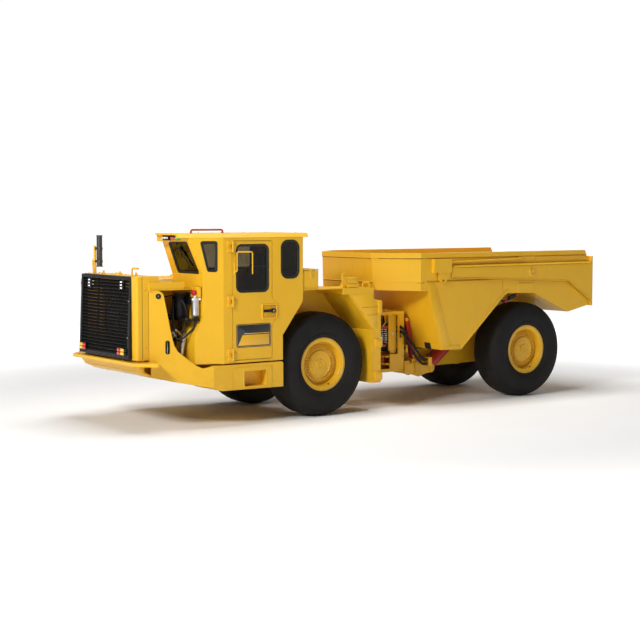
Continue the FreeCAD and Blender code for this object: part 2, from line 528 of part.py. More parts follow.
# ---------------------------------------------------------------- hitch tower at the front of the rear unit
ht = [
    box(-1490, -1450, -480, 480, 740, 1270),
    box(-1490, -1450, -240, 240, 440, 741),
    box(-1707, -1310, -500, 500, 1250, 1270),
    box(-1707, -1449, -480, 480, 440, 460),
    ear(525, 575, 110, -1455, 240), ear(1025, 1075, 110, -1455, 240),
]
for sg in (1, -1):
    y0, y1 = yy(sg, 480, 500)
    sp = box(-1707, -1310, y0, y1, 440, 1270)
    sp = sp.cut(box(-1600, -1300, y0 - 1, y1 + 1, 684, 1225)).cut(box(-1461, -1300, y0 - 1, y1 + 1, 484, 700))
    sp = sp.cut(rxz([(-1664, 900), (-1626, 900), (-1626, 1076), (-1664, 1076)], 15, y0 - 1, y1 + 1))
    ht.append(sp)
    # steering eye plates above and below the rod eye
    for z0 in (STEER_Z + 42, STEER_Z - 62):
        ht.append(box(-1700, -1400, *yy(sg, 290, 481), z0, z0 + 20))
tower = fuse(ht)
tower = tower.cut(cyl((HITCH_X, 0, 515), (0, 0, 1), 50 + FIT, 70)).cut(cyl((HITCH_X, 0, 1015), (0, 0, 1), 50 + FIT, 70))
tower = tower.cut(box(-1500, -1440, -130, 130, 700, 900))
emit("hitch_tower", tower)

# ---------------------------------------------------------------- rear frame
RAIL_R_PTS = [(-1490, 460), (-1490, 1180), (-1700, 1180), (-1850, 700), (-2300, 700), (-2700, 930), (-4050, 930), (-4180, 1100),
              (-4320, 1100), (-4340, 1080), (-4340, 900), (-4200, 560), (-3950, 470), (-2100, 440), (-1708, 440), (-1708, 460)]
BRACKET = [(-1708, 402), (-1708, 575), (-1800, 575), (-1860, 505), (-1900, 560), (-1960, 581), (-2165, 520), (-2222, 508), (-2222, 392),
           (-2116, 384), (-1971, 343), (-1874, 375)]
rf = []
for sg in (1, -1):
    y0, y1 = yy(sg, *REAR_RAIL)
    rf.append(pxz(RAIL_R_PTS, y0, y1).cut(cyl((REAR_X, y0 - 1, AXLE_Z), (0, 1, 0), 112, y1 - y0 + 2)))
    for a, b in ((262, 285), (475, 500)):
        rf.append(pxz(BRACKET, *yy(sg, a, b)))
        rf.append(cyl((HOIST_B[0], yy(sg, a, b)[0], HOIST_B[1]), (0, 1, 0), 62, b - a))
    rf.append(cyl((HOIST_B[0], yy(sg, 262, 500)[0], HOIST_B[1]), (0, 1, 0), 30, 238))
    rf.append(box(-1760, -1725, *yy(sg, 239, 476), 440, 560))
    rf.append(box(-2000, -1965, *yy(sg, 239, 476), 370, 500))
    rf.append(cyl((PIVOT_X, yy(sg, 190, 300)[0], PIVOT_Z), (0, 1, 0), 40, 110))
# seat for the body prop and the hose manifold, left side
rf.append(box(-1945, -1850, 430, 500, 540, 600))
rf.append(box(-2150, -2090, 490, 575, 480, 610))
rf += [box(-2760, -2720, -201, 201, 480, 900), box(-4300, -4260, -201, 201, 620, 1000)]
rear = fuse(rf).cut(box(-2770, -2710, -110, 110, 560, 820))
emit("rear_frame", rear)

# two-piece shaft, its middle joint ahead of the low point of the body
MID = (-1850, 0, 685)
emit("prop_shaft", fuse([cyl((-1320, 0, 820), (1, 0, 0), 45, 15), rod((-1312, 0, 818), MID, 45), Part.makeSphere(52, V(*MID)),
                         rod(MID, (-3257, 0, 672), 42), cyl((-1345, 0, 814), (1, 0, 0), 60, 20),
                         cyl((REAR_X + 330, 0, AXLE_Z), (1, 0, 0), 70, 15)]))
emit("valve_block", fuse([box(-1700, -1490, 300, 420, 850, 1090), cyl((-1540, 420, 960), (0, 1, 0), 22, 45), cyl((-1600, 360, 1090), (0, 0, 1), 25, 70)]))
HOSE_R = 16.0
HOSES = ([(-1645, 420, 1047), (-1645, 545, 1047), (-1860, 545, 760), (-1965, 545, 640), (-2040, 545, 578), (-2090, 545, 578)],
         [(-1645, 420, 985), (-1645, 545, 985), (-1820, 545, 705), (-1935, 545, 570), (-2010, 545, 522), (-2090, 545, 522)])
hs = []
for pts in HOSES:
    h, rad, ln = pipe(pts, HOSE_R, 42)
    print("hose radii", [round(q) for q in rad], "length", round(ln))
    hs.append(h)
emit("hoist_hoses", Part.makeCompound(hs))
emit("body_prop", pxz([(-1787, 1190), (-1717, 1190), (-1860, 600), (-1930, 600)], 430, 500))

# ---------------------------------------------------------------- hoist
def hoist():
    bx, bz = HOIST_B
    ex, ez = HOIST_E
    L = math.hypot(ex - bx, ez - bz)
    u = ((ex - bx) / L, 0, (ez - bz) / L)
    bs, rs = [], []
    for sg in (1, -1):
        y = sg * HOIST_Y
        def at(s):
            return (bx + u[0] * s, y, bz + u[2] * s)
        b = fuse([cyl((bx, y - 50, bz), (0, 1, 0), 55, 100), rod(at(30), at(L - 170), 85)])
        b = b.cut(cyl((bx, y - 60, bz), (0, 1, 0), 30 + FIT, 120))
        b = b.cut(rod(at(90), at(L), 50 + FIT))
        bs.append(b)
        rs.append(fuse([rod(at(130), at(L - 30), 50), cyl((ex, y - 30, ez), (0, 1, 0), 55, 60)]))
    return bs, rs
bs, rs = hoist()
emit("hoist_barrels", Part.makeCompound(bs))
emit("hoist_rods", Part.makeCompound(rs))

# ---------------------------------------------------------------- dump body: folded plate, open top and rear
PROF = [(-1078, BODY_TOP), (-1100, 1700), (-1130, 1580), (-1690, 1570), (-1924, 758), (-2285, 745), (-3081, 1456), (-3147, 1492),
        (-3643, 1487), (-4352, 1187), (-4735, 1268), (-4765, 1290), (-4770, 1900), (-4675, BODY_TOP)]

def off_line(p, q, t):
    """Line p->q moved t to its left: point and direction."""
    dx, dz = q[0] - p[0], q[1] - p[1]
    n = math.hypot(dx, dz)
    return (p[0] - dz / n * t, p[1] + dx / n * t), (dx / n, dz / n)

def meet(l1, l2):
    (p, d), (q, e) = l1, l2
    k = d[0] * e[1] - d[1] * e[0]
    s = ((q[0] - p[0]) * e[1] - (q[1] - p[1]) * e[0]) / k
    return (p[0] + d[0] * s, p[1] + d[1] * s)

def at_z(l, z):
    (p, d) = l
    return (p[0] + d[0] * (z - p[1]) / d[1], z)

def at_x(l, x):
    (p, d) = l
    return (x, p[1] + d[1] * (x - p[0]) / d[0])

def inner_prof(t):
    # the outline runs front wall, lip, floor, rear: its inside lies to the right of travel
    ls = [off_line(PROF[i], PROF[i + 1], -t) for i in range(10)]
    pts = [at_z(ls[0], 2300)] + [meet(ls[i], ls[i + 1]) for i in range(9)] + [at_x(ls[9], -4950), (-4950, 2300)]
    return pts

def plan(o, x_end=-5000):
    """Plan outline moved outwards by o."""
    k = o * (math.sqrt(2) - 1)
    return [(-1078 + o, -553 - k), (-1078 + o, 553 + k), (-1559 + k, SIDE_Y + o), (x_end, SIDE_Y + o), (x_end, -SIDE_Y - o), (-1559 + k, -SIDE_Y - o)]

outer = pxz(PROF, -1100, 1100).common(pxy(plan(0), 600, 2200))
ip = inner_prof(BODY_T)
inner = pxz(ip, -1100, 1100).common(pxy(plan(-BODY_T), 600, 2400))
tub = outer.cut(inner)
rear_trim = pxz([(-4770, 1900), (-4675, BODY_TOP), (-4675, 2300), (-5100, 2300), (-5100, 1900)], -1200, 1200)
rim_band = pxy(plan(8), 2010, BODY_TOP).cut(pxy(plan(-52, -5100), 2000, 2100)).cut(rear_trim)
XS = -1575.0          # front edge of the side plates
XF = -1690.0          # fold between the front and the floor
side_plates = []
for sg in (1, -1):
    zone = box(-4900, XS, *yy(sg, SIDE_Y - BODY_T, 1100), 0, 3000)
    p = [tub.common(zone), rim_band.common(box(-4900, XS, *yy(sg, 900, 1100), 0, 3000))]
    # doubler plates, arm pin, front bracket and its lug, long guide bar
    p += [box(-3670, -3356, *yy(sg, SIDE_Y - 1, 1042), 1952, 2011), box(-3657, -3343, *yy(sg, SIDE_Y - 1, 1042), 1510, 1633),
          cyl((GATE_X, yy(sg, SIDE_Y - 1, 1090)[0], GATE_Z), (0, 1, 0), 35, 57),
          box(-2063, -1750, *yy(sg, SIDE_Y - 1, 1090), 1811, 2001),
          rod((-2060, sg * 1058, 1954), (-3357, sg * 1058, 1978), 14), box(-3385, -3350, *yy(sg, SIDE_Y - 1, 1074), 1960, 1996)]
    lug = pxz([(-2055, 1812), (-1842, 1812), (-1842, 1740), (-1870, 1690), (-1921, 1664), (-1975, 1690), (-2055, 1780)], *yy(sg, 1050, 1076))
    p.append(lug.cut(cyl((-1925, yy(sg, 1045, 1085)[0], 1702), (0, 1, 0), 16, 40)))
    side_plates.append(fuse(p))
emit("body_sides", Part.makeCompound(side_plates))
core = tub.cut(box(-4900, XS, SIDE_Y - BODY_T, 1100, 0, 3000)).cut(box(-4900, XS, -1100, -SIDE_Y + BODY_T, 0, 3000))
front = fuse([core.common(box(XF, -1000, -1100, 1100, 0, 3000)), rim_band.common(box(XS, -1000, -1100, 1100, 0, 3000))])
emit("body_front", front)
fl = [core.common(box(-4900, XF, -1100, 1100, 0, 3000))]
for sg in (1, -1):
    # beams under the floor, ears on the tipping pin, lugs for the hoist rods
    fl.append(pxz([(-2950, 1330), (-3081, 1450), (-3147, 1488), (-3643, 1483), (-4352, 1190), (-4340, 1150), (-3643, 1345), (-3150, 1330)], *yy(sg, 200, 280)))
    fl.append(pxz([(-4040, 1325), (-4352, 1190), (-4325, 1040), (-4175, 1040)], *yy(sg, 246, 276)))
    fl.append(cyl((PIVOT_X, yy(sg, 246, 276)[0], PIVOT_Z), (0, 1, 0), 78, 30))
    for a, b in ((305, 325), (435, 455)):
        fl.append(pxz([(-3160, 1494), (-3440, 1490), (-3360, 1230), (-3240, 1230)], *yy(sg, a, b)))
floor = fuse(fl)
for sg in (1, -1):
    floor = floor.cut(cyl((PIVOT_X, sg * 261 - 40, PIVOT_Z), (0, 1, 0), 40 + FIT, 80))
floor = floor.cut(pxz(ip, -1000, 1000))
emit("body_floor", floor)

# ---------------------------------------------------------------- tailgate
tg = []
G0, G1 = GATE_PLATE
for sg in (1, -1):
    y0, y1 = yy(sg, 1050, 1075)
    arm = rxz([(-2073, 1736), (-2089, 1906), (G0, 1916), (G0, 1300), (-4776, 1300), (-4740, 1350), (-4310, 1634)], [30, 20, 0, 0, 0, 20, 30], y0, y1)
    arm = fuse([arm, cyl((GATE_X, y0, GATE_Z), (0, 1, 0), 62, y1 - y0)])
    tg.append(arm)
tg.append(box(G0, G1, -1075, 1075, 1264, 1990))
gate = fuse(tg)
for sg in (1, -1):
    gate = gate.cut(cyl((GATE_X, yy(sg, 1045, 1080)[0], GATE_Z), (0, 1, 0), 35 + FIT, 35))
emit("tailgate", gate)

print(len(NODES), "nodes")
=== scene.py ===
import math
import random
import bpy
import bmesh
from mathutils import Vector, Matrix


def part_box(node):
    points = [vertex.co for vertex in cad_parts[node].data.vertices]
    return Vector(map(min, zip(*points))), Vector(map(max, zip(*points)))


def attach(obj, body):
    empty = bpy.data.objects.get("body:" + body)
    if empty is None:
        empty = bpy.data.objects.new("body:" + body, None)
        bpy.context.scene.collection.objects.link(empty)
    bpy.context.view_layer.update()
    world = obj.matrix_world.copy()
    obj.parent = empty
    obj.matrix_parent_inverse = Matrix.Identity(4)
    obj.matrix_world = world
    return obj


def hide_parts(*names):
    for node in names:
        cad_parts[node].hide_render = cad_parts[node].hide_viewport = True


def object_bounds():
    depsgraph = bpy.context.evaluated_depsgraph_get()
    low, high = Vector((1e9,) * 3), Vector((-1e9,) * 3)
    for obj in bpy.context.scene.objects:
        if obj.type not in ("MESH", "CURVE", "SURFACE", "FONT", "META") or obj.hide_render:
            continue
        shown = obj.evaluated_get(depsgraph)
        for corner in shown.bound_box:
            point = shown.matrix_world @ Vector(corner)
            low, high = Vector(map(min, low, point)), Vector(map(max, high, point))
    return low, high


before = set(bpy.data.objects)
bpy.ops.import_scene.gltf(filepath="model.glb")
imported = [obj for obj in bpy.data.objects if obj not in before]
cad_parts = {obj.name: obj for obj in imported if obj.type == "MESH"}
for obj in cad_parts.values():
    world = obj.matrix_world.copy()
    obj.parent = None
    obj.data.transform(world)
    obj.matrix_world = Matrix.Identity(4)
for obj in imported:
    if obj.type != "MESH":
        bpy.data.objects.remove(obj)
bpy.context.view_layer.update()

_a, _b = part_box("front_tyre_left")
S = (_a.x + _b.x) / 2            # front axle, metres ahead of the origin
random.seed(7)


def P(x, y, z):
    """Front-axle millimetres to the row frame's metres."""
    return Vector((x / 1000 + S, y / 1000, z / 1000))


# ------------------------------------------------------------------ camera
cam_data = bpy.data.cameras.new("camera")
cam_data.lens, cam_data.sensor_width = 81.46, 36.0
cam_data.clip_end = 200
cam = bpy.data.objects.new("camera", cam_data)
bpy.context.scene.collection.objects.link(cam)
cam.location = (10.9276 + S, 15.9746, 2.6030)
cam.rotation_mode = "QUATERNION"
cam.rotation_quaternion = Vector((-0.5848, -0.8079, -0.0729)).to_track_quat("-Z", "Y")
bpy.context.scene.camera = cam
bpy.context.scene.view_settings.view_transform = "Standard"      # keeps the enamel its full colour


# ------------------------------------------------------------------ materials
def srgb(r, g, b):
    def f(c):
        c /= 255
        return c / 12.92 if c <= 0.04045 else ((c + 0.055) / 1.055) ** 2.4
    return (f(r), f(g), f(b), 1.0)


class Nt:
    def __init__(self, name):
        self.mat = bpy.data.materials.new(name)
        self.mat.use_nodes = True
        self.t = self.mat.node_tree
        self.t.nodes.clear()
        self.out = self.n("ShaderNodeOutputMaterial")
        self.bsdf = self.n("ShaderNodeBsdfPrincipled")
        self.l(self.bsdf, "BSDF", self.out, "Surface")

    def n(self, kind, **kw):
        nd = self.t.nodes.new(kind)
        for k, v in kw.items():
            setattr(nd, k, v)
        return nd

    def l(self, a, ao, b, bi):
        self.t.links.new(a.outputs[ao], b.inputs[bi])

    def noise(self, src, scale, detail=5, rough=0.55, stretch=None):
        nz = self.n("ShaderNodeTexNoise")
        nz.inputs["Scale"].default_value = scale
        nz.inputs["Detail"].default_value = detail
        nz.inputs["Roughness"].default_value = rough
        if stretch:
            mp = self.n("ShaderNodeMapping")
            mp.inputs["Scale"].default_value = stretch
            self.l(src, "Object", mp, "Vector")
            self.l(mp, "Vector", nz, "Vector")
        else:
            self.l(src, "Object", nz, "Vector")
        return nz

    def maprange(self, a, ao, f0, f1, t0, t1):
        m = self.n("ShaderNodeMapRange")
        for k, v in (("From Min", f0), ("From Max", f1), ("To Min", t0), ("To Max", t1)):
            m.inputs[k].default_value = v
        self.l(a, ao, m, "Value")
        return m

    def math(self, op, a, b, clamp=False):
        m = self.n("ShaderNodeMath", operation=op, use_clamp=clamp)
        for i, s in enumerate((a, b)):
            if isinstance(s, (int, float)):
                m.inputs[i].default_value = s
            else:
                self.t.links.new(s[0].outputs[s[1]], m.inputs[i])
        return m

    def mix(self, fac, a, b):
        m = self.n("ShaderNodeMix", data_type="RGBA")
        if isinstance(fac, (int, float)):
            m.inputs[0].default_value = fac
        else:
            self.t.links.new(fac[0].outputs[fac[1]], m.inputs[0])
        for i, s in ((6, a), (7, b)):
            if isinstance(s[0], (int, float)):
                m.inputs[i].default_value = s
            else:
                self.t.links.new(s[0].outputs[s[1]], m.inputs[i])
        return m


def finish(name, col, rough, metal=0.0, var=0.05, vscale=2.2, rvar=0.08, bump=0.12, bscale=260.0,
           bev=0.0, edge_wear_and_highlight=0.0, edge_wear_and_highlight_col=None, dust_and_top_highlight=0.0, dust_and_top_highlight_col=(0.55, 0.47, 0.33, 1), dirt=0.0, coat=0.0,
           spec=0.5, streak=0.0, dist=0.0008):
    """One procedural finish: tone drift, settled dusting on upward faces (on the yellow paints a pale yellow that is
    also a painted top highlight), low dirt, edges mixed to a lighter colour (partly worn paint, partly a painted edge
    highlight), uneven gloss, fine surface bump.
    """
    k = Nt(name)
    tc = k.n("ShaderNodeTexCoord")
    geo = k.n("ShaderNodeNewGeometry")
    n1 = k.noise(tc, vscale, 6, 0.6)
    n2 = k.noise(tc, vscale * 9, 5, 0.65)
    v = k.maprange(n1, "Fac", 0.3, 0.7, 1 - var, 1 + var)
    hsv = k.n("ShaderNodeHueSaturation")
    hsv.inputs["Color"].default_value = col
    k.l(v, "Result", hsv, "Value")
    c = (hsv, "Color")
    rgh = k.maprange(n2, "Fac", 0.3, 0.7, rough - rvar, rough + rvar)
    r = (rgh, "Result")
    if streak:
        ns = k.noise(tc, 9.0, 4, 0.6, stretch=(1.0, 1.0, 0.12))
        f = k.maprange(ns, "Fac", 0.52, 0.75, 0.0, streak)
        c = (k.mix((f, "Result"), c, tuple(x * 0.55 for x in col[:3]) + (1,)), "Result")
    sep = k.n("ShaderNodeSeparateXYZ")
    # upward faces mix towards the dusting colour: grey-tan dusting on most finishes; on the yellow paints a pale yellow
    # that is a painted top highlight as well
    if dust_and_top_highlight:
        k.l(geo, "Normal", sep, "Vector")
        up = k.maprange(sep, "Z", 0.3, 1.0, 0.0, dust_and_top_highlight)
        f = k.math("MULTIPLY", (up, "Result"), (k.maprange(n2, "Fac", 0.35, 0.65, 0.35, 1.0), "Result"), True)
        c = (k.mix((f, "Value"), c, dust_and_top_highlight_col), "Result")
        r = (k.math("ADD", r, (k.math("MULTIPLY", (f, "Value"), 0.35), "Value")), "Value")
    if dirt:
        sp = k.n("ShaderNodeSeparateXYZ")
        k.l(tc, "Object", sp, "Vector")
        lowz = k.maprange(sp, "Z", 1.05, 0.3, 0.0, dirt)
        f = k.math("MULTIPLY", (lowz, "Result"), (k.maprange(n2, "Fac", 0.42, 0.66, 0.0, 1.0), "Result"), True)
        c = (k.mix((f, "Value"), c, (0.19, 0.14, 0.085, 1)), "Result")
        r = (k.math("ADD", r, (k.math("MULTIPLY", (f, "Value"), 0.3), "Value")), "Value")
    bv = None
    if bev:
        bv = k.n("ShaderNodeBevel", samples=6)
        bv.inputs["Radius"].default_value = bev
    # edges found through the bevel normal mix towards a lighter colour: partly worn paint, partly a painted edge
    # highlight
    if edge_wear_and_highlight and bev:
        dot = k.n("ShaderNodeVectorMath", operation="DOT_PRODUCT")
        k.l(bv, "Normal", dot, 0)
        k.l(geo, "Normal", dot, 1)
        e = k.maprange(dot, "Value", 0.985, 0.90, 0.0, 1.0)
        f = k.math("MULTIPLY", (e, "Result"), (k.maprange(n2, "Fac", 0.45, 0.62, 0.0, edge_wear_and_highlight), "Result"), True)
        c = (k.mix((f, "Value"), c, edge_wear_and_highlight_col or tuple(min(1, x * 1.5 + 0.03) for x in col[:3]) + (1,)), "Result")
    k.t.links.new(c[0].outputs[c[1]], k.bsdf.inputs["Base Color"])
    k.t.links.new(r[0].outputs[r[1]], k.bsdf.inputs["Roughness"])
    k.bsdf.inputs["Metallic"].default_value = metal
    k.bsdf.inputs["Specular IOR Level"].default_value = spec
    if coat:
        k.bsdf.inputs["Coat Weight"].default_value = coat
        k.bsdf.inputs["Coat Roughness"].default_value = 0.12
    nb = k.noise(tc, bscale, 3, 0.5)
    bp = k.n("ShaderNodeBump")
    bp.inputs["Strength"].default_value = bump
    bp.inputs["Distance"].default_value = dist
    k.l(nb, "Fac", bp, "Height")
    if bv:
        k.l(bv, "Normal", bp, "Normal")
    k.l(bp, "Normal", k.bsdf, "Normal")
    return k


YEL = (0.84, 0.468, 0.014, 1.0)
# the yellow paints' pale dusting colour is partly a painted top highlight, and their light edge colour is partly a
# painted edge highlight
M_YEL = finish("yellow_enamel", YEL, 0.38, var=0.035, bev=0.007, edge_wear_and_highlight=0.30, edge_wear_and_highlight_col=(0.93, 0.60, 0.08, 1), dust_and_top_highlight=0.04, dust_and_top_highlight_col=(0.82, 0.60, 0.22, 1), dirt=0.14, coat=0.0, bump=0.10, bscale=420, streak=0.04, spec=0.42).mat
M_YELW = finish("wheel_enamel", YEL, 0.33, var=0.04, bev=0.006, edge_wear_and_highlight=0.30, edge_wear_and_highlight_col=(0.93, 0.60, 0.08, 1), dust_and_top_highlight=0.03, dust_and_top_highlight_col=(0.82, 0.60, 0.22, 1), dirt=0.22, coat=0.08, bump=0.10, bscale=420, spec=0.45).mat
# darker, duller yellow; inside the door's latch box it is painted shade of the recess
M_YEL_DULL_AND_SHADE = finish("yellow_dull_and_painted_shade", (0.74, 0.39, 0.014, 1), 0.52, var=0.05, bev=0.004, dust_and_top_highlight=0.08, dust_and_top_highlight_col=(0.55, 0.40, 0.15, 1), dirt=0.25, bump=0.15, bscale=300, spec=0.25).mat
M_RUB = finish("tyre_rubber", (0.012, 0.012, 0.0125, 1), 0.72, var=0.18, vscale=5, rvar=0.07, bump=0.35, bscale=170, dirt=0.05, spec=0.22, dist=0.0014).mat
M_SEAL = finish("seal_rubber", (0.012, 0.012, 0.013, 1), 0.55, var=0.12, bump=0.2, bscale=300, spec=0.4).mat
M_BLK = finish("black_satin", (0.009, 0.009, 0.010, 1), 0.44, var=0.15, bev=0.003, edge_wear_and_highlight=0.12, edge_wear_and_highlight_col=(0.06, 0.06, 0.063, 1), dust_and_top_highlight=0.015, bump=0.12, bscale=350, spec=0.3).mat
M_BLKD = finish("black_dull", (0.010, 0.010, 0.011, 1), 0.75, var=0.2, bump=0.3, bscale=200, spec=0.25).mat
M_RED = finish("red_enamel", srgb(168, 38, 30), 0.36, var=0.06, bev=0.004, edge_wear_and_highlight=0.3, dust_and_top_highlight=0.06, coat=0.2, bump=0.10, bscale=380).mat
M_CHR = finish("chrome", (0.82, 0.82, 0.83, 1), 0.14, metal=1.0, var=0.03, rvar=0.04, bump=0.04, bscale=600).mat
M_STL = finish("zinc_steel", (0.56, 0.56, 0.57, 1), 0.36, metal=1.0, var=0.12, vscale=20, bump=0.2, bscale=500, bev=0.002).mat
M_ALU = finish("cast_aluminium", (0.62, 0.62, 0.63, 1), 0.42, metal=1.0, var=0.08, vscale=14, bump=0.3, bscale=260, bev=0.002).mat
M_HOSE = finish("hose_wrap", (0.014, 0.014, 0.015, 1), 0.6, var=0.15, bump=0.6, bscale=420, spec=0.35, dist=0.0012).mat
M_IRON = finish("dark_iron", (0.055, 0.055, 0.058, 1), 0.5, metal=0.6, var=0.2, vscale=8, bump=0.4, bscale=160, bev=0.003, dust_and_top_highlight=0.05).mat
M_TAN = finish("tan_sheath", (0.42, 0.29, 0.15, 1), 0.5, var=0.1, bump=0.2, bscale=300).mat
M_PLAS = finish("grained_plastic", (0.020, 0.020, 0.022, 1), 0.55, var=0.1, bump=0.5, bscale=520, bev=0.003, spec=0.4).mat
M_ASH = finish("grey_liner", (0.055, 0.055, 0.058, 1), 0.85, var=0.15, bump=0.5, bscale=300, spec=0.2).mat
M_STACK = finish("heat_steel", (0.10, 0.10, 0.105, 1), 0.42, metal=0.85, var=0.2, vscale=6, bump=0.15, bscale=300).mat


def vinyl():
    k = finish("seat_vinyl", (0.022, 0.022, 0.024, 1), 0.58, var=0.12, bump=0.5, bscale=340, spec=0.35, dist=0.0015)
    return k.mat


M_VIN = vinyl()


def glass(name, tint, alpha_rough=0.03):
    """Dark solar glass: thin tinted transmission with a clear reflection and faint film."""
    k = Nt(name)
    tc = k.n("ShaderNodeTexCoord")
    nz = k.noise(tc, 3.0, 4, 0.6)
    v = k.maprange(nz, "Fac", 0.3, 0.7, 0.92, 1.08)
    hsv = k.n("ShaderNodeHueSaturation")
    hsv.inputs["Color"].default_value = tint
    k.l(v, "Result", hsv, "Value")
    k.t.nodes.remove(k.bsdf)
    tr = k.n("ShaderNodeBsdfTransparent")
    k.l(hsv, "Color", tr, "Color")
    gl = k.n("ShaderNodeBsdfGlossy")
    gl.inputs["Roughness"].default_value = alpha_rough
    gl.inputs["Color"].default_value = (0.9, 0.92, 0.92, 1)
    fr = k.n("ShaderNodeFresnel")
    fr.inputs["IOR"].default_value = 1.5
    mx = k.n("ShaderNodeMixShader")
    k.l(fr, "Fac", mx, 0)
    k.l(tr, "BSDF", mx, 1)
    k.l(gl, "BSDF", mx, 2)
    k.l(mx, "Shader", k.out, "Surface")
    return k.mat


M_GLASS = glass("cab_glass", (0.60, 0.56, 0.47, 1))
M_GLASSB = glass("screen_glass", (0.36, 0.31, 0.22, 1))


# lens finishes glow faintly; on the filter's white fittings and the tank's sight glass, which are no lamps, the glow is
# painted light
def lens(name, col, glow=0.0):
    k = finish(name, col, 0.16, var=0.06, vscale=30, rvar=0.04, bump=0.25, bscale=180, coat=0.6)
    if glow:
        k.bsdf.inputs["Emission Color"].default_value = col
        k.bsdf.inputs["Emission Strength"].default_value = glow
    return k.mat


M_LRED = lens("lens_red", srgb(205, 28, 30), 0.25)
M_LAMB = lens("lens_amber", srgb(240, 190, 20), 0.25)
M_LWHT = lens("lens_white", (0.85, 0.87, 0.88, 1), 0.25)
M_LGRN = lens("lens_green", srgb(30, 165, 50), 0.25)
M_KNOB = finish("knob_red", srgb(200, 30, 48), 0.3, var=0.05, bump=0.05, coat=0.4).mat


def fins(name):
    """Radiator core: fine upright fins between flat tubes."""
    k = finish(name, (0.035, 0.035, 0.037, 1), 0.5, metal=0.5, var=0.15, vscale=6, bump=0.2, bscale=200)
    tc = k.n("ShaderNodeTexCoord")
    w = k.n("ShaderNodeTexWave", wave_type="BANDS", bands_direction="Z")
    w.inputs["Scale"].default_value = 40.0
    k.l(tc, "Object", w, "Vector")
    bp = k.n("ShaderNodeBump")
    bp.inputs["Strength"].default_value = 0.9
    bp.inputs["Distance"].default_value = 0.006
    k.l(w, "Fac", bp, "Height")
    k.l(bp, "Normal", k.bsdf, "Normal")
    return k.mat


M_FIN = fins("radiator_core")


def floor_mat():
    k = finish("floor_pale", (0.93, 0.93, 0.93, 1), 0.85, var=0.01, vscale=0.5, bump=0.03, bscale=40, spec=0.1)
    # the floor fades into the white air towards its rim
    tc = k.n("ShaderNodeTexCoord")
    ln = k.n("ShaderNodeVectorMath", operation="LENGTH")
    k.l(tc, "Object", ln, 0)
    f = k.n("ShaderNodeMapRange", interpolation_type="SMOOTHSTEP")
    for q, v in (("From Min", 4.5), ("From Max", 11.0), ("To Min", 0.0), ("To Max", 1.0)):
        f.inputs[q].default_value = v
    k.l(ln, "Value", f, "Value")
    k.bsdf.inputs["Emission Color"].default_value = (1, 1, 1, 1)
    k.l(f, "Result", k.bsdf, "Emission Strength")
    return k.mat


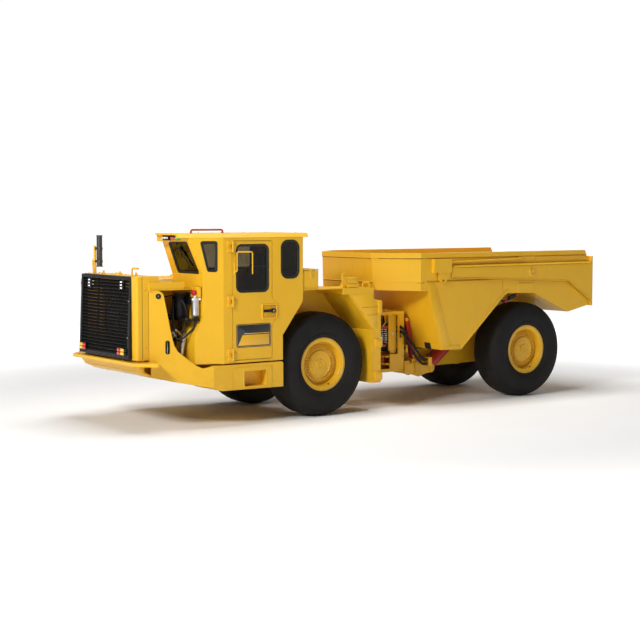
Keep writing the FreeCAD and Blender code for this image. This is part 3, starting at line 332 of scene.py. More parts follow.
# ------------------------------------------------------------------ mesh building
class Mb:
    def __init__(self):
        self.v, self.f, self.m = [], [], []

    def add(self, verts, faces, mat=0):
        o = len(self.v)
        self.v.extend(tuple(p) for p in verts)
        self.f.extend(tuple(i + o for i in f) for f in faces)
        self.m.extend([mat] * len(faces))

    def take(self, bm, mat=0):
        bm.verts.index_update()
        self.add([v.co.copy() for v in bm.verts], [[v.index for v in f.verts] for f in bm.faces], mat)
        bm.free()

    # boxes and plates -------------------------------------------------
    def box(self, x0, x1, y0, y1, z0, z1, bev=2.0, mat=0, segs=2):
        self.obox(P((x0 + x1) / 2, (y0 + y1) / 2, (z0 + z1) / 2), (1, 0, 0), (0, 1, 0), abs(x1 - x0), abs(y1 - y0), abs(z1 - z0), bev, mat, segs)

    def obox(self, c, u, v, lu, lv, lw, bev=2.0, mat=0, segs=2):
        """Box at c with axes u, v and their cross, sizes in mm."""
        u = Vector(u).normalized()
        v = Vector(v)
        v = (v - u * v.dot(u)).normalized()
        w = u.cross(v)
        bm = bmesh.new()
        bmesh.ops.create_cube(bm, size=1)
        m = Matrix((u, v, w)).transposed().to_4x4()
        for q in bm.verts:
            q.co = Vector(c) + (u * q.co.x * lu + v * q.co.y * lv + w * q.co.z * lw) / 1000
        b = min(bev, lu * 0.45, lv * 0.45, lw * 0.45)
        if b > 0:
            bmesh.ops.bevel(bm, geom=bm.edges[:], offset=b / 1000, segments=segs, profile=0.5, affect="EDGES", clamp_overlap=True)
        self.take(bm, mat)

    def slab(self, o, u, w, pts, t, bev=1.5, mat=0, segs=2, start=0.0):
        """Outline (mm) in plane o,u,w pushed t mm along n = u x w (outwards when the pair is chosen so)."""
        o, u, w = Vector(o), Vector(u).normalized(), Vector(w).normalized()
        n = u.cross(w)
        bm = bmesh.new()
        lo = [bm.verts.new(o + (u * a + w * b + n * start) / 1000) for a, b in pts]
        hi = [bm.verts.new(o + (u * a + w * b + n * (start + t)) / 1000) for a, b in pts]
        k = len(pts)
        bm.faces.new(lo[::-1])
        bm.faces.new(hi)
        for i in range(k):
            bm.faces.new((lo[i], lo[(i + 1) % k], hi[(i + 1) % k], hi[i]))
        bmesh.ops.recalc_face_normals(bm, faces=bm.faces[:])
        if bev > 0:
            bmesh.ops.bevel(bm, geom=[e for e in bm.edges if e in bm.edges], offset=min(bev, abs(t) * 0.45) / 1000, segments=segs, profile=0.5, affect="EDGES", clamp_overlap=True)
        self.take(bm, mat)

    # round things ------------------------------------------------------
    def lathe(self, p, d, prof, n=32, mat=0, phase=0.0):
        """prof: (radius, distance along d) in mm, from the base outwards."""
        p, d = Vector(p), Vector(d).normalized()
        a = Vector((0, 0, 1)) if abs(d.z) < 0.9 else Vector((1, 0, 0))
        u = a.cross(d).normalized()
        w = d.cross(u)
        verts, faces, rows = [], [], []
        for r, h in prof:
            if r <= 1e-6:
                rows.append([len(verts)])
                verts.append(p + d * h / 1000)
            else:
                rows.append(list(range(len(verts), len(verts) + n)))
                for i in range(n):
                    t = 2 * math.pi * i / n + phase
                    verts.append(p + d * h / 1000 + (u * math.cos(t) + w * math.sin(t)) * r / 1000)
        for a_, b_ in zip(rows, rows[1:]):
            for i in range(n):
                j = (i + 1) % n
                if len(a_) == 1 and len(b_) == 1:
                    break
                if len(a_) == 1:
                    faces.append((a_[0], b_[i], b_[j]))
                elif len(b_) == 1:
                    faces.append((a_[j], a_[i], b_[0]))
                else:
                    faces.append((a_[j], a_[i], b_[i], b_[j]))
        faces = [f[::-1] for f in faces]
        self.add(verts, faces, mat)

    def cyl(self, p, d, r, h, mat=0, n=28, ch=1.0):
        ch = min(ch, r * 0.4, h * 0.4)
        self.lathe(p, d, [(0, 0), (r - ch, 0), (r, ch), (r, h - ch), (r - ch, h), (0, h)], n, mat)

    def bolt(self, p, d, r=8.0, mat=0, washer=True, stud=0.0):
        h = r * 0.75
        if washer:
            self.lathe(p, d, [(0, 0), (r * 1.55, 0), (r * 1.6, 1.0), (r * 1.5, 1.8), (0, 1.8)], 18, mat)
        base = 1.6 if washer else 0
        self.lathe(p, d, [(0, base), (r, base), (r, base + h * 0.85), (r * 0.86, base + h), (0, base + h)], 6, mat, random.random())
        if stud:
            self.lathe(Vector(p) + Vector(d).normalized() * (base + h) / 1000, d, [(0, -1), (r * 0.5, -1), (r * 0.5, stud - 1), (r * 0.42, stud), (0, stud)], 12, mat)

    def tube(self, pts, r, bend=None, n=12, mat=0, seg=7, closed=False, cap=True, mm=True):
        pts = [P(*q) if mm else Vector(q) for q in pts]
        path = fillet(pts, bend / 1000 if bend else None, seg, closed)
        self.sweep_round(path, r / 1000, n, mat, closed, cap)
        return path

    def sweep_round(self, path, r, n=12, mat=0, closed=False, cap=True):
        rad = r if callable(r) else (lambda i: r)
        k = len(path)
        tans = []
        for i in range(k):
            a = path[i - 1] if (i > 0 or closed) else path[i]
            b = path[(i + 1) % k] if (i < k - 1 or closed) else path[i]
            tans.append((b - a).normalized())
        u = Vector((0, 0, 1)) if abs(tans[0].z) < 0.9 else Vector((1, 0, 0))
        u = (u - tans[0] * u.dot(tans[0])).normalized()
        verts, faces = [], []
        for i in range(k):
            t = tans[i]
            u = (u - t * u.dot(t)).normalized()
            w = t.cross(u)
            for j in range(n):
                a = 2 * math.pi * j / n
                verts.append(path[i] + (u * math.cos(a) + w * math.sin(a)) * rad(i))
        rng = k if closed else k - 1
        for i in range(rng):
            i2 = (i + 1) % k
            for j in range(n):
                j2 = (j + 1) % n
                faces.append((i * n + j, i * n + j2, i2 * n + j2, i2 * n + j))
        if cap and not closed:
            faces.append(tuple(range(n))[::-1])
            faces.append(tuple((k - 1) * n + j for j in range(n)))
        self.add(verts, faces, mat)

    def sweep(self, path, normal, section, mat=0, closed=True):
        """section: (across, along normal) in mm; across points to the outside of a loop that runs anticlockwise about normal."""
        nrm = Vector(normal).normalized()
        k, n = len(path), len(section)
        verts, faces = [], []
        for i in range(k):
            a = path[i - 1] if (i > 0 or closed) else path[i]
            b = path[(i + 1) % k] if (i < k - 1 or closed) else path[i]
            t = (b - a).normalized()
            out = t.cross(nrm).normalized()
            # mitre
            if (i > 0 or closed) and (i < k - 1 or closed):
                t1 = (path[i] - path[i - 1]).normalized()
                c = max(0.35, t.dot(t1))
                out = out / c
            for s, h in section:
                verts.append(path[i] + (out * s + nrm * h) / 1000)
        rng = k if closed else k - 1
        for i in range(rng):
            i2 = (i + 1) % k
            for j in range(n):
                j2 = (j + 1) % n
                faces.append((i * n + j, i2 * n + j, i2 * n + j2, i * n + j2))
        if not closed:
            faces.append(tuple(range(n)))
            faces.append(tuple((k - 1) * n + j for j in range(n))[::-1])
        self.add(verts, faces, mat)

    def weld(self, a, b, r=4.0, mat=0, pitch=9.0):
        """Weld bead with its ripples, from a to b in mm."""
        a, b = P(*a), P(*b)
        L = (b - a).length * 1000
        k = max(4, int(L / pitch) * 2)
        path = [a.lerp(b, i / k) for i in range(k + 1)]
        self.sweep_round(path, lambda i: r * (1.0 if i % 2 else 0.78) / 1000, 6, mat)

    def make(self, name, mats, body, slot=None, angle=32):
        me = bpy.data.meshes.new(name)
        me.from_pydata(self.v, [], self.f)
        for m in mats:
            me.materials.append(m)
        me.polygons.foreach_set("material_index", self.m)
        me.update()
        bm = bmesh.new()
        bm.from_mesh(me)
        bmesh.ops.recalc_face_normals(bm, faces=bm.faces[:])
        bm.to_mesh(me)
        bm.free()
        me.shade_smooth()
        me.set_sharp_from_angle(angle=math.radians(angle))
        ob = bpy.data.objects.new(name, me)
        bpy.context.scene.collection.objects.link(ob)
        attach(ob, body)
        return ob


def fillet(pts, r, seg, closed=False):
    """Points of a path whose corners are rounded to radius r (metres), or as much as fits."""
    if len(pts) < 3:
        return list(pts)
    out = []
    k = len(pts)
    for i in range(k):
        if not closed and i in (0, k - 1):
            out.append(pts[i])
            continue
        p0, p1, p2 = pts[i - 1], pts[i], pts[(i + 1) % k]
        a, b = (p0 - p1), (p2 - p1)
        la, lb = a.length, b.length
        a.normalize(); b.normalize()
        ang = a.angle(b)
        if ang > math.pi - 0.02:
            out.append(p1)
            continue
        rr = r if r else 1e9
        t = min(rr / math.tan(ang / 2), la * 0.49, lb * 0.49)
        rr = t * math.tan(ang / 2)
        c = p1 + (a + b).normalized() * (rr / math.sin(ang / 2))
        s, e = p1 + a * t, p1 + b * t
        vs, ve = s - c, e - c
        tot = vs.angle(ve)
        for q in range(seg + 1):
            f = q / seg
            w0 = math.sin((1 - f) * tot) / math.sin(tot)
            w1 = math.sin(f * tot) / math.sin(tot)
            out.append(c + vs * w0 + ve * w1)
    return out


def loop2(pts, r, seg=8):
    """Rounded closed outline of 2-D points in mm, anticlockwise."""
    area = sum(pts[i - 1][0] * pts[i][1] - pts[i][0] * pts[i - 1][1] for i in range(len(pts)))
    if area < 0:
        pts = pts[::-1]
    v = fillet([Vector((a, b, 0)) for a, b in pts], r, seg, True)
    return [(q.x, q.y) for q in v]


def onto(pts, o, u, w):
    o, u, w = Vector(o), Vector(u).normalized(), Vector(w).normalized()
    return [o + (u * a + w * b) / 1000 for a, b in pts]


def assign(names, mat):
    for n in names:
        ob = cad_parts[n]
        if not ob.material_slots:
            ob.data.materials.append(mat)
        for s in ob.material_slots:
            s.material = mat


# ------------------------------------------------------------------ CAD nodes' finishes
assign(["front_frame", "side_frames", "front_bumper", "hood", "radiator_cowl", "cab_shell", "cab_roof", "cab_door",
        "rear_fenders", "toolbox", "toolbox_lid", "hydraulic_tank", "hitch_tower", "rear_frame",
        "body_floor", "body_sides", "body_front", "tailgate"], M_YEL)
assign(["front_wheel_left", "front_wheel_right", "rear_wheel_left", "rear_wheel_right"], M_YELW)
assign(["front_axle", "rear_axle"], M_YEL_DULL_AND_SHADE)
assign(["front_tyre_left", "front_tyre_right", "rear_tyre_left", "rear_tyre_right"], M_RUB)
assign(["grille_door"], M_BLK)
assign(["engine_block", "transmission", "prop_shaft"], M_IRON)
assign(["radiator"], M_FIN)
assign(["exhaust_stack"], M_STACK)
assign(["cab_glass", "door_glass"], M_GLASS)
assign(["dash_console"], M_PLAS)
assign(["operator_seat"], M_VIN)
assign(["roof_handrail", "hoist_barrels", "steer_barrel_left", "steer_barrel_right", "body_prop"], M_RED)
assign(["hoist_rods", "steer_rod_left", "steer_rod_right"], M_CHR)
assign(["hoist_hoses"], M_HOSE)
assign(["filter_pack"], M_BLK)
assign(["valve_block"], M_ALU)

UP = (0, 0, 1)
XA = (1, 0, 0)
YA = (0, 1, 0)
FL = Vector((715.0, -284.0, 0)).normalized()       # forwards along the flared planes
FN = Vector((-FL.y, FL.x, 0))                       # their outward normal


def flare_y(x, off=0.0):
    return 750 + (2415 - x) * 284 / 715 - off / FN.y


def cab_flare_y(x):
    return 1034 - (x - 1561) * 284 / 715


# ------------------------------------------------------------------ wheels and tyres
_half = [(0, 672), (45, 671.8), (80, 670.8), (108, 668.5), (132, 665), (153, 660), (171, 653.5), (187, 645), (201, 635), (213, 623), (224, 608),
         (234, 590), (243, 568), (251, 542), (256.5, 515), (259, 488), (258.5, 462), (254, 440), (246, 420), (237, 404), (225, 382), (214, 363), (203, 352), (196, 336)]
TYRE = [(r, -y) for y, r in _half[::-1]] + [(r, y) for y, r in _half[1:]]


def tyre(name, x, sg, body, node):
    M = Mb()
    prof = []
    for r, a in TYRE:
        prof.append((r, a))
    # moulded rings on each wall: rim guard, and the line where the buttress begins
    def ring(prof, r0, h, w=5.0):
        out = []
        for i, (r, a) in enumerate(prof):
            out.append((r, a))
            if i + 1 < len(prof):
                r2, a2 = prof[i + 1]
                if min(r, r2) < r0 <= max(r, r2) and abs(a) > 150:
                    f = (r0 - r) / (r2 - r)
                    s = 1 if a > 0 else -1
                    d = 1 if r2 > r else -1
                    am = a + (a2 - a) * f
                    out += [(r0 - d * w, am), (r0 - d * w * 0.5, am + s * h), (r0 + d * w * 0.5, am + s * h), (r0 + d * w, am)]
        return out
    prof = ring(prof, 394, 2.6, 6)
    prof = ring(prof, 412, 1.6, 3)
    prof = ring(prof, 617, 1.8, 4)
    M.lathe(P(x, sg * 747, 672), (0, sg, 0), prof, 144, 0)
    # inner bore so the tyre is closed against the rim
    M.lathe(P(x, sg * 747, 672), (0, sg, 0), [(336, 196), (334, 150), (334, -150), (336, -196)], 72, 0)
    # shallow pits of the smooth tread and small vents on the shoulders
    for k in range(48):
        t = 2 * math.pi * k / 48
        for a in (-120, 120) if k % 2 else (-40, 40):
            d = Vector((math.cos(t), 0, math.sin(t)))
            c = P(x, sg * 747 + a, 672) + d * 0.6715
            M.lathe(c, d, [(0, -2), (5, -2), (6.5, 0.9), (9, 0.6), (10, -0.5)], 10, 0)
    ob = M.make(name, [M_RUB], body, "tyre_rubber", 50)
    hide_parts(node)


def wheel_trim(name, x, sg, body):
    M = Mb()
    c = P(x, sg * 747, 672)
    d = Vector((0, sg, 0))
    for k in range(32):
        t = 2 * math.pi * k / 32
        o = c + Vector((math.cos(t), 0, math.sin(t))) * 0.207 + d * 0.1125
        M.lathe(o, d, [(14.5, 0), (15, 1), (14, 3), (0, 3)], 16, 0)
        M.lathe(o + d * 0.003, d, [(12.5, 0), (12.5, 14), (10.5, 17), (0, 17)], 6, 0, t)
        M.lathe(o + d * 0.020, d, [(7, -1), (7, 5), (5.5, 7), (0, 7)], 10, 0)
    # raised bead round the hub cap, its small screws and the oil plug
    M.lathe(c + d * 0.137, d, [(146, -1), (148, 7), (151, 9), (158, 9), (162, 6), (163.5, -1)], 72, 0)
    M.lathe(c + d * 0.137, d, [(122, -1), (124, 3), (129, 3), (131, -1)], 72, 0)
    M.lathe(c + d * 0.148, d, [(46, -1), (48, 6), (51, 7.5), (56, 7.5), (59, 5), (60, -1)], 48, 0)
    # step ring outside the nuts and the groove ring on the dish
    M.lathe(c + d * 0.1125, d, [(230, -3), (231, 8), (234, 10), (240, 8), (243, -3)], 96, 0)
    for k in range(12):
        t = 2 * math.pi * (k + 0.5) / 12
        o = c + Vector((math.cos(t), 0, math.sin(t))) * 0.110 + d * 0.137
        M.bolt(o, d, 5.5, 0, False)
    M.bolt(c + d * 0.148, d, 12, 0, False)
    o = c + Vector((math.cos(0.6), 0, math.sin(0.6))) * 0.085 + d * 0.137
    M.bolt(o, d, 9, 0, True)
    # lock ring and the valve
    M.lathe(c + d * 0.190, d, [(326, -2), (328, 4), (334, 5.5), (340, 4), (341, -2)], 96, 0)
    t = -1.9
    rad = Vector((math.cos(t), 0, math.sin(t)))
    M.tube([tuple(q) for q in (c + rad * 0.292 + d * 0.10, c + rad * 0.286 + d * 0.15, c + rad * 0.272 + d * 0.188)], 5.5, 30, 10, 1, mm=False)
    M.cyl(c + rad * 0.272 + d * 0.186, d, 7.5, 14, 2, 12)
    M.make(name, [M_YELW, M_STL, M_SEAL], body, "painted_yellow")


for tag, x, un in (("front", 0, ""), ("rear", -3596, "")):
    for side, sg in (("left", 1), ("right", -1)):
        b = "%s_wheel_%s" % (tag, side)
        tyre("smooth_tyre_%s_%s" % (tag, side), x, sg, b, "%s_tyre_%s" % (tag, side))
        wheel_trim("wheel_nuts_%s_%s" % (tag, side), x, sg, b)

# ------------------------------------------------------------------ window seals
SEC = [(-25, -12.5), (-25, -5), (-21, 1), (-13, 5.5), (-4, 6.5), (3, 4.5), (5, 1.5), (5, -0.8), (-1, -1.5), (-1.5, -12.5)]


def seal(M, pts, r, o, u, w, mat=0, sec=SEC):
    nrm = Vector(u).normalized().cross(Vector(w).normalized())
    M.sweep(onto(loop2(pts, r, 9), o, u, w), nrm, sec, mat)


door_win = [(1377, 1644), (901, 1644), (901, 2233), (1377, 2233)]
cap_win = [(438, 1800), (713, 1800), (713, 2281), (438, 2281)]
in_win = [(620, 1900), (1640, 1900), (1760, 2250), (620, 2250)]
rear_win = [(330, 1850), (900, 1850), (900, 2250), (330, 2250)]
wsu = Vector((153, 0, 443)).normalized()


def neg(pts):
    return [(-a, b) for a, b in pts]


M = Mb()
# u x w has to point outwards: on the left face u = -X
seal(M, neg(cap_win), 100, P(0, 1034, 0), (-1, 0, 0), UP)
seal(M, in_win, 50, P(0, 205, 0), XA, UP)
seal(M, neg(rear_win), 60, P(378, 0, 0), (0, -1, 0), UP)
seal(M, [(359, 10), (871, 10), (795, 418), (349, 408)], 35, P(1797, 0, 1872), YA, wsu)
cf = lambda x: (x - 1561) / FL.x
cp = [(cf(1633), 1905), (cf(1742), 1909), (cf(1825), 2273), (cf(1632), 2272)]
seal(M, neg(cp), 25, P(1561, 1034, 0), -FL, UP)
# soft strip that shows in the gap all round the door
dop = [(1434, 2277), (845, 2277), (845, 1562), (764, 1509), (764, 1330), (847, 1246), (847, 811), (1434, 811)]
M.sweep(onto(loop2(neg(dop), 22, 5), P(0, 1004, 0), (-1, 0, 0), UP), YA, [(-9, -14), (-9, -4), (9, -4), (9, -14)], 0)
M.make("window_seals", [M_SEAL], "front_unit", "tyre_rubber")
M = Mb()
seal(M, neg(door_win), 75, P(0, 1034, 0), (-1, 0, 0), UP)
M.make("door_window_seal", [M_SEAL], "cab_door", "tyre_rubber")

# ------------------------------------------------------------------ cab door: latch box, handle, grab tube, blank plate
M = Mb()
lx = [(-1006, 1308), (-774, 1308), (-774, 1492), (-1006, 1492)]
o = P(0, 1034, 0)
M.sweep(onto(loop2(lx, 14, 4), o, (-1, 0, 0), UP), YA, [(-16, -1), (-16, 11), (-12, 14), (-2, 14), (2, 10), (2, -1)], 0)
# darker yellow plate inside the latch box: painted shade of the recess
M.slab(o, (-1, 0, 0), UP, [(-992, 1322), (-788, 1322), (-788, 1478), (-992, 1478)], 2.0, 0.8, 2)
# paddle handle with its pivot
M.slab(o, (-1, 0, 0), UP, loop2([(-985, 1386), (-862, 1386), (-862, 1421), (-985, 1421)], 12, 4), 13, 3.5, 1, start=12)
M.slab(o, (-1, 0, 0), UP, loop2([(-872, 1378), (-806, 1378), (-806, 1430), (-872, 1430)], 14, 4), 18, 4, 1, start=2)
M.cyl(P(838, 1052, 1404), YA, 11, 5, 3)
M.cyl(P(838, 1054, 1452), YA, 8, 4, 3)
# bracket plates and the hooked grab tube
M.box(1388, 1412, 1034, 1046, 1868, 2010, 2.5, 0)
M.bolt(P(1400, 1046, 1888), YA, 7, 0)
M.bolt(P(1400, 1046, 1990), YA, 7, 0)
M.tube([(1400, 1046, 1905), (1400, 1090, 1905), (1400, 1090, 2142), (1175, 1090, 2142), (1175, 1090, 1872)], 8.5, 22, 14, 0)
M.cyl(P(1175, 1090, 1870), UP, 9.5, 8, 0)
# hinge straps' screws
for z in (2209, 1539, 882):
    M.box(1376, 1428, 1034, 1041, z - 24, z + 24, 2, 0)
    for dz in (-12, 12):
        M.bolt(P(1388, 1041, z + dz), YA, 5.0, 0, False)
# rolled edge line of the outer skin
M.sweep(onto(loop2(neg([(1424, 2267), (856, 2267), (856, 1569), (775, 1515), (775, 1325), (858, 1241), (858, 822), (1424, 822)]), 20, 4), o, (-1, 0, 0), UP), YA,
        [(-2.2, -0.5), (-1.2, 1.2), (1.2, 1.2), (2.2, -0.5)], 0)
M.make("door_fittings", [M_YEL, M_BLK, M_YEL_DULL_AND_SHADE, M_STL], "cab_door", "painted_yellow")

M = Mb()
pl = loop2(neg([(1382, 964), (869, 964), (869, 1254), (1382, 1254)]), 26, 6)
M.slab(o, (-1, 0, 0), UP, pl, 3.0, 0.8, 0)
M.sweep(onto(loop2(neg([(1372, 974), (879, 974), (879, 1244), (1372, 1244)]), 20, 6), P(0, 1037, 0), (-1, 0, 0), UP), YA, [(-2, -0.2), (-2, 0.5), (2, 0.5), (2, -0.2)], 2)
M.slab(P(0, 1037, 0), (-1, 0, 0), UP, [(-1356, 988), (-895, 988), (-895, 1118), (-1290, 1118)], 0.6, 0.2, 1)
M.slab(P(0, 1037, 0), (-1, 0, 0), UP, [(-1268, 1130), (-895, 1130), (-895, 1138), (-1264, 1138)], 0.6, 0.2, 2)
for a in (1366, 885):
    for b in (980, 1238):
        M.lathe(P(a, 1037, b), YA, [(0, 1.8), (3, 1.8), (5, 0.6), (5.5, 0)], 12, 3)
M.make("blank_plate", [finish("plate_black", (0.018, 0.018, 0.020, 1), 0.32, var=0.08, bump=0.05, coat=0.3).mat,
                       finish("plate_gold", (0.80, 0.44, 0.02, 1), 0.34, var=0.05, bump=0.05, coat=0.3).mat,
                       finish("plate_line", (0.80, 0.46, 0.05, 1), 0.35, var=0.04, bump=0.04).mat, M_STL], "cab_door", "black_paint")

# ------------------------------------------------------------------ cab outside: lamps, wiper, low cover, screws
M = Mb()
# work lamp, red and green markers under the roof's front lip
M.obox(P(2020, 480, 2314), XA, YA, 58, 150, 62, 10, 1, 3)
M.obox(P(2050, 480, 2314), XA, YA, 6, 128, 44, 2, 3)
for k in range(4):
    M.lathe(P(2051, 430 + k * 33, 2314), XA, [(0, 3), (10, 3), (13, 1.5), (14, 0)], 18, 4)
M.tube([(2020, 480, 2340), (2020, 480, 2349)], 14, None, 12, 1)
for y, mt in ((632, 5), (732, 6)):
    M.cyl(P(2024, y, 2326), UP, 40, 22, 1, 28, 3)
    M.lathe(P(2024, y, 2327), (0, 0, -1), [(36, 0), (37, 6), (36, 22), (30, 33), (16, 39), (0, 40)], 28, mt)
# roof plate screws and seam strips
for x in (420, 760, 1100, 1440):
    for y in (250, 930):
        M.bolt(P(x, y, 2368), UP, 8, 0)
M.box(640, 646, 230, 975, 2367, 2370, 1, 0)
M.box(1250, 1256, 230, 975, 2367, 2370, 1, 0)
# handrail feet
for x in (1300, 1758):
    M.lathe(P(x, 600, 2367.5), UP, [(24, 0), (24, 5), (14, 7), (12, 7)], 24, 2)
# wiper: spindle, arm and blade lying on the screen
wo = P(1797, 0, 1872)
wn = Vector((0.9452, 0, -0.3264))


def ws(s, h, off=0.0):
    return wo + (Vector(YA) * s + wsu * h + wn * off) / 1000


M.lathe(ws(560, 395, 0), wn, [(14, 0), (14, 14), (8, 20), (0, 20)], 18, 1)
M.tube([tuple(ws(560, 395, 18)), tuple(ws(610, 300, 20)), tuple(ws(665, 205, 14))], 4.5, 40, 8, 1, mm=False)
M.tube([tuple(ws(560, 395, 12)), tuple(ws(520, 260, 16)), tuple(ws(500, 190, 12))], 3, 40, 8, 1, mm=False)
M.obox(ws(640, 225, 9), (Vector(YA) * 0.55 + wsu * -0.83), wn, 300, 9, 14, 2, 1)
# strip along the sill
M.box(852, 1436, 1030, 1036, 782, 800, 2, 0)
# bolted cover with the step recess
def ringplate(M, outer, inner, o, u, w, t, mat):
    o, u, w = Vector(o), Vector(u), Vector(w)
    n = u.cross(w)
    k = len(outer)
    V = []
    for h in (0, t):
        for pts in (outer, inner):
            V += [o + (u * a + w * b + n * h) / 1000 for a, b in pts]
    F = []
    for i in range(k):
        j = (i + 1) % k
        F += [(2 * k + i, 2 * k + j, 3 * k + j, 3 * k + i), (i, k + i, k + j, j), (i, j, 2 * k + j, 2 * k + i), (k + i, 3 * k + i, 3 * k + j, k + j)]
    M.add(V, F, mat)


ringplate(M, [(-1428, 458), (-852, 458), (-852, 721), (-1428, 721)], [(-1268, 477), (-935, 477), (-935, 673), (-1268, 673)], P(0, 1034, 0), (-1, 0, 0), UP, 4, 0)
M.sweep(onto(loop2([(-1268, 477), (-935, 477), (-935, 673), (-1268, 673)], 20, 5), P(0, 1034, 0), (-1, 0, 0), UP), YA, [(-3, -2), (-3, 5), (0, 8), (8, 8), (11, 4), (11, -1)], 0)
for a in (1404, 876):
    for b in (482, 697):
        M.bolt(P(a, 1038, b), YA, 8, 0)
# raised tread pattern on the step floor
for i in range(12):
    for j in range(3):
        M.obox(P(955 + i * 27, 935 + j * 32, 478.5), Vector((1, (1 if (i + j) % 2 else -1), 0)), Vector((-1, 1, 0)), 22, 5, 3, 1.2, 0, 1)
# same cover on the far side
ringplate(M, [(852, 458), (1428, 458), (1428, 721), (852, 721)], [(935, 477), (1268, 477), (1268, 673), (935, 673)], P(0, -1034, 0), XA, UP, 4, 0)
for a in (1404, 876):
    for b in (482, 697):
        M.bolt(P(a, -1038, b), (0, -1, 0), 8, 0)
for z0, z1 in ((2142, 2277), (1470, 1608), (806, 959)):
    M.box(1448, 1500, 1034, 1040, z0 - 4, z1 + 4, 2, 0)
    for a, b in ((z0 - 4, z0 + 12), (z1 - 12, z1 + 4)):
        M.box(1440, 1478, 1040, 1056, a, b, 2, 0)
    for z in (z0 + 30, z1 - 30):
        M.bolt(P(1486, 1040, z), YA, 6, 0)
M.make("cab_trim", [M_YEL, M_BLK, M_RED, M_PLAS, M_LWHT, M_LRED, M_LGRN], "front_unit", "painted_yellow")

# ------------------------------------------------------------------ cheek: plug, wiring in the slot, dots, edge bead
M = Mb()
for sg in (1, -1):
    n = Vector((FN.x, FN.y * sg, 0))
    f = Vector((FL.x, FL.y * sg, 0))
    def C(x, z, off=0.0):
        return P(x, sg * flare_y(x), z) + n * off / 1000
    c = C(2327, 1619)
    M.lathe(c, n, [(0, -26), (24, -26), (24, 2), (31, 2), (33, 5), (29, 7), (20, 7), (18, 3), (0, 3)], 32, 1)
    M.lathe(c, n, [(6, 2), (7, 6), (9, 6), (10, 2)], 20, 2)
    for z in (872, 829, 787):
        M.lathe(C(2161, z), n, [(0, 4), (6, 4), (9, 2), (9.5, -1)], 16, 0)
    # black plate at the back of the slot paints the well's shade, with three cables in front of it
    M.obox(C(2227, 1000, -62), f, UP, 90, 200, 8, 2, 1)
    for k, dx in enumerate((-13, 1, 14)):
        M.tube([tuple(C(2227 + dx, 905, -20 - 6 * k)), tuple(C(2227 + dx * 0.6, 1000, -14)), tuple(C(2227 + dx, 1095, -22 - 5 * k))], 6, 60, 10, 1 if k != 1 else 2, mm=False)
    M.sweep([q for q in onto(loop2([(-22, 922), (22, 922), (22, 1079), (-22, 1079)], 20, 5), C(2227, 0), Vector(UP).cross(n), UP)],
            n, [(-2, -3), (-2, 3), (2, 4), (5, 2), (5, -1)], 1)
    # weld line where the cheek meets the low box
    M.weld((1702, sg * 1033, 500), (1702, sg * 1033, 752), 3.0, 0)
M.make("cheek_fittings", [M_YEL, M_BLKD, M_STL], "front_unit", "black_paint")


# ------------------------------------------------------------------ grille door: lamps, slat clips, latches
gx = lambda z: 2646 - (z - 862) * 46 / 990
GN = Vector((990, 0, 46)).normalized()
GU = Vector((-46, 0, 990)).normalized()


def G(y, z, off=0.0):
    return P(gx(z), y, z) + GN * off / 1000


M = Mb()
for y in (-420, 420):
    M.obox(G(y, 1748, 8), YA, GU, 62, 116, 18, 4, 0, 2)
    for k in range(3):
        c = G(y, 1784 - k * 36, 0)
        M.obox(c + GN * 0.022, YA, GU, 54, 26, 14, 5, 0, 3)
        M.obox(c + GN * 0.0295, YA, GU, 46, 18, 5, 2, 3, 2)
        for j in range(3):
            M.lathe(c + GN * 0.0315 + Vector(YA) * (j - 1) * 0.0145, GN, [(0, 2), (4.5, 2), (6, 1), (6.5, 0)], 14, 3)
# paired markers low on each side: a dark base with four small lenses
for y0, cols in ((-622, (2, 1)), (392, (1, 2))):
    M.obox(G(y0 + 44, 944, 8), YA, GU, 176, 96, 18, 5, 0, 3)
    for j, col in enumerate(cols):
        for i in range(2):
            c = G(y0 + 88 * j, 944 + (21 if i else -21), 18)
            M.obox(c, YA, GU, 74, 35, 10, 6, col, 3)
            M.obox(c + GN * 0.005, YA, GU, 58, 24, 5, 4, col, 2)
for z in (922, 966):
    M.obox(G(548, z, 8), YA, GU, 48, 34, 22, 6, 0, 2)
for y in (-672, 596):
    for z in (1060, 1240, 1420, 1600, 1780):
        M.bolt(G(y, z, 0), GN, 6.5, 0, True)
for y in (-560, -120, 60, 540):
    M.bolt(G(y, 1836, 0), GN, 6.5, 0, True)
    M.bolt(G(y, 880, 0), GN, 6.5, 0, True)
for z in (1120, 1560):
    M.lathe(G(588, z, 0), GN, [(22, 0), (22, 5), (19, 8), (0, 8)], 28, 0)
    M.obox(G(588, z, 10), YA, GU, 34, 9, 6, 2, 4)
# slat end clips
for i in range(22):
    z = 905 + 20.6 + i * 41.2
    for y in (-646, 568):
        M.obox(G(y, z, -10), YA, GU, 8, 22, 16, 2, 0)
M.make("grille_lamps", [M_BLK, M_LRED, M_LAMB, M_LWHT, M_STL], "grille_door", "black_paint")

# hinge blocks' caps on the far side stay with the cowl
M = Mb()
for z in (970, 1730):
    M.lathe(P(2575, -735, z + 40), UP, [(14, 0), (17, 1), (17, 5), (10, 9), (0, 10)], 24, 0)
    M.lathe(P(2575, -735, z - 40), (0, 0, -1), [(14, 0), (17, 1), (17, 5), (0, 6)], 24, 0)
# fan shroud ring, guard wires, fan hub behind the core's face (seen through the slats)
fc = P(2402, -30, 1300)
M.lathe(fc, XA, [(385, 0), (385, 26), (372, 30), (366, 26), (366, 0)], 72, 1)
for r in (90, 160, 230, 300):
    M.lathe(fc, XA, [(r, 18), (r + 3, 21), (r + 6, 18), (r + 3, 15), (r, 18)], 56, 2)
for k in range(12):
    t = math.pi * k / 6
    a = fc + Vector((0.016, math.cos(t) * 0.05, math.sin(t) * 0.05))
    b = fc + Vector((0.016, math.cos(t) * 0.37, math.sin(t) * 0.37))
    M.tube([tuple(a), tuple(b)], 2.5, None, 6, 2, mm=False)
M.lathe(fc, XA, [(62, 0), (62, 20), (55, 25), (0, 25)], 36, 1)
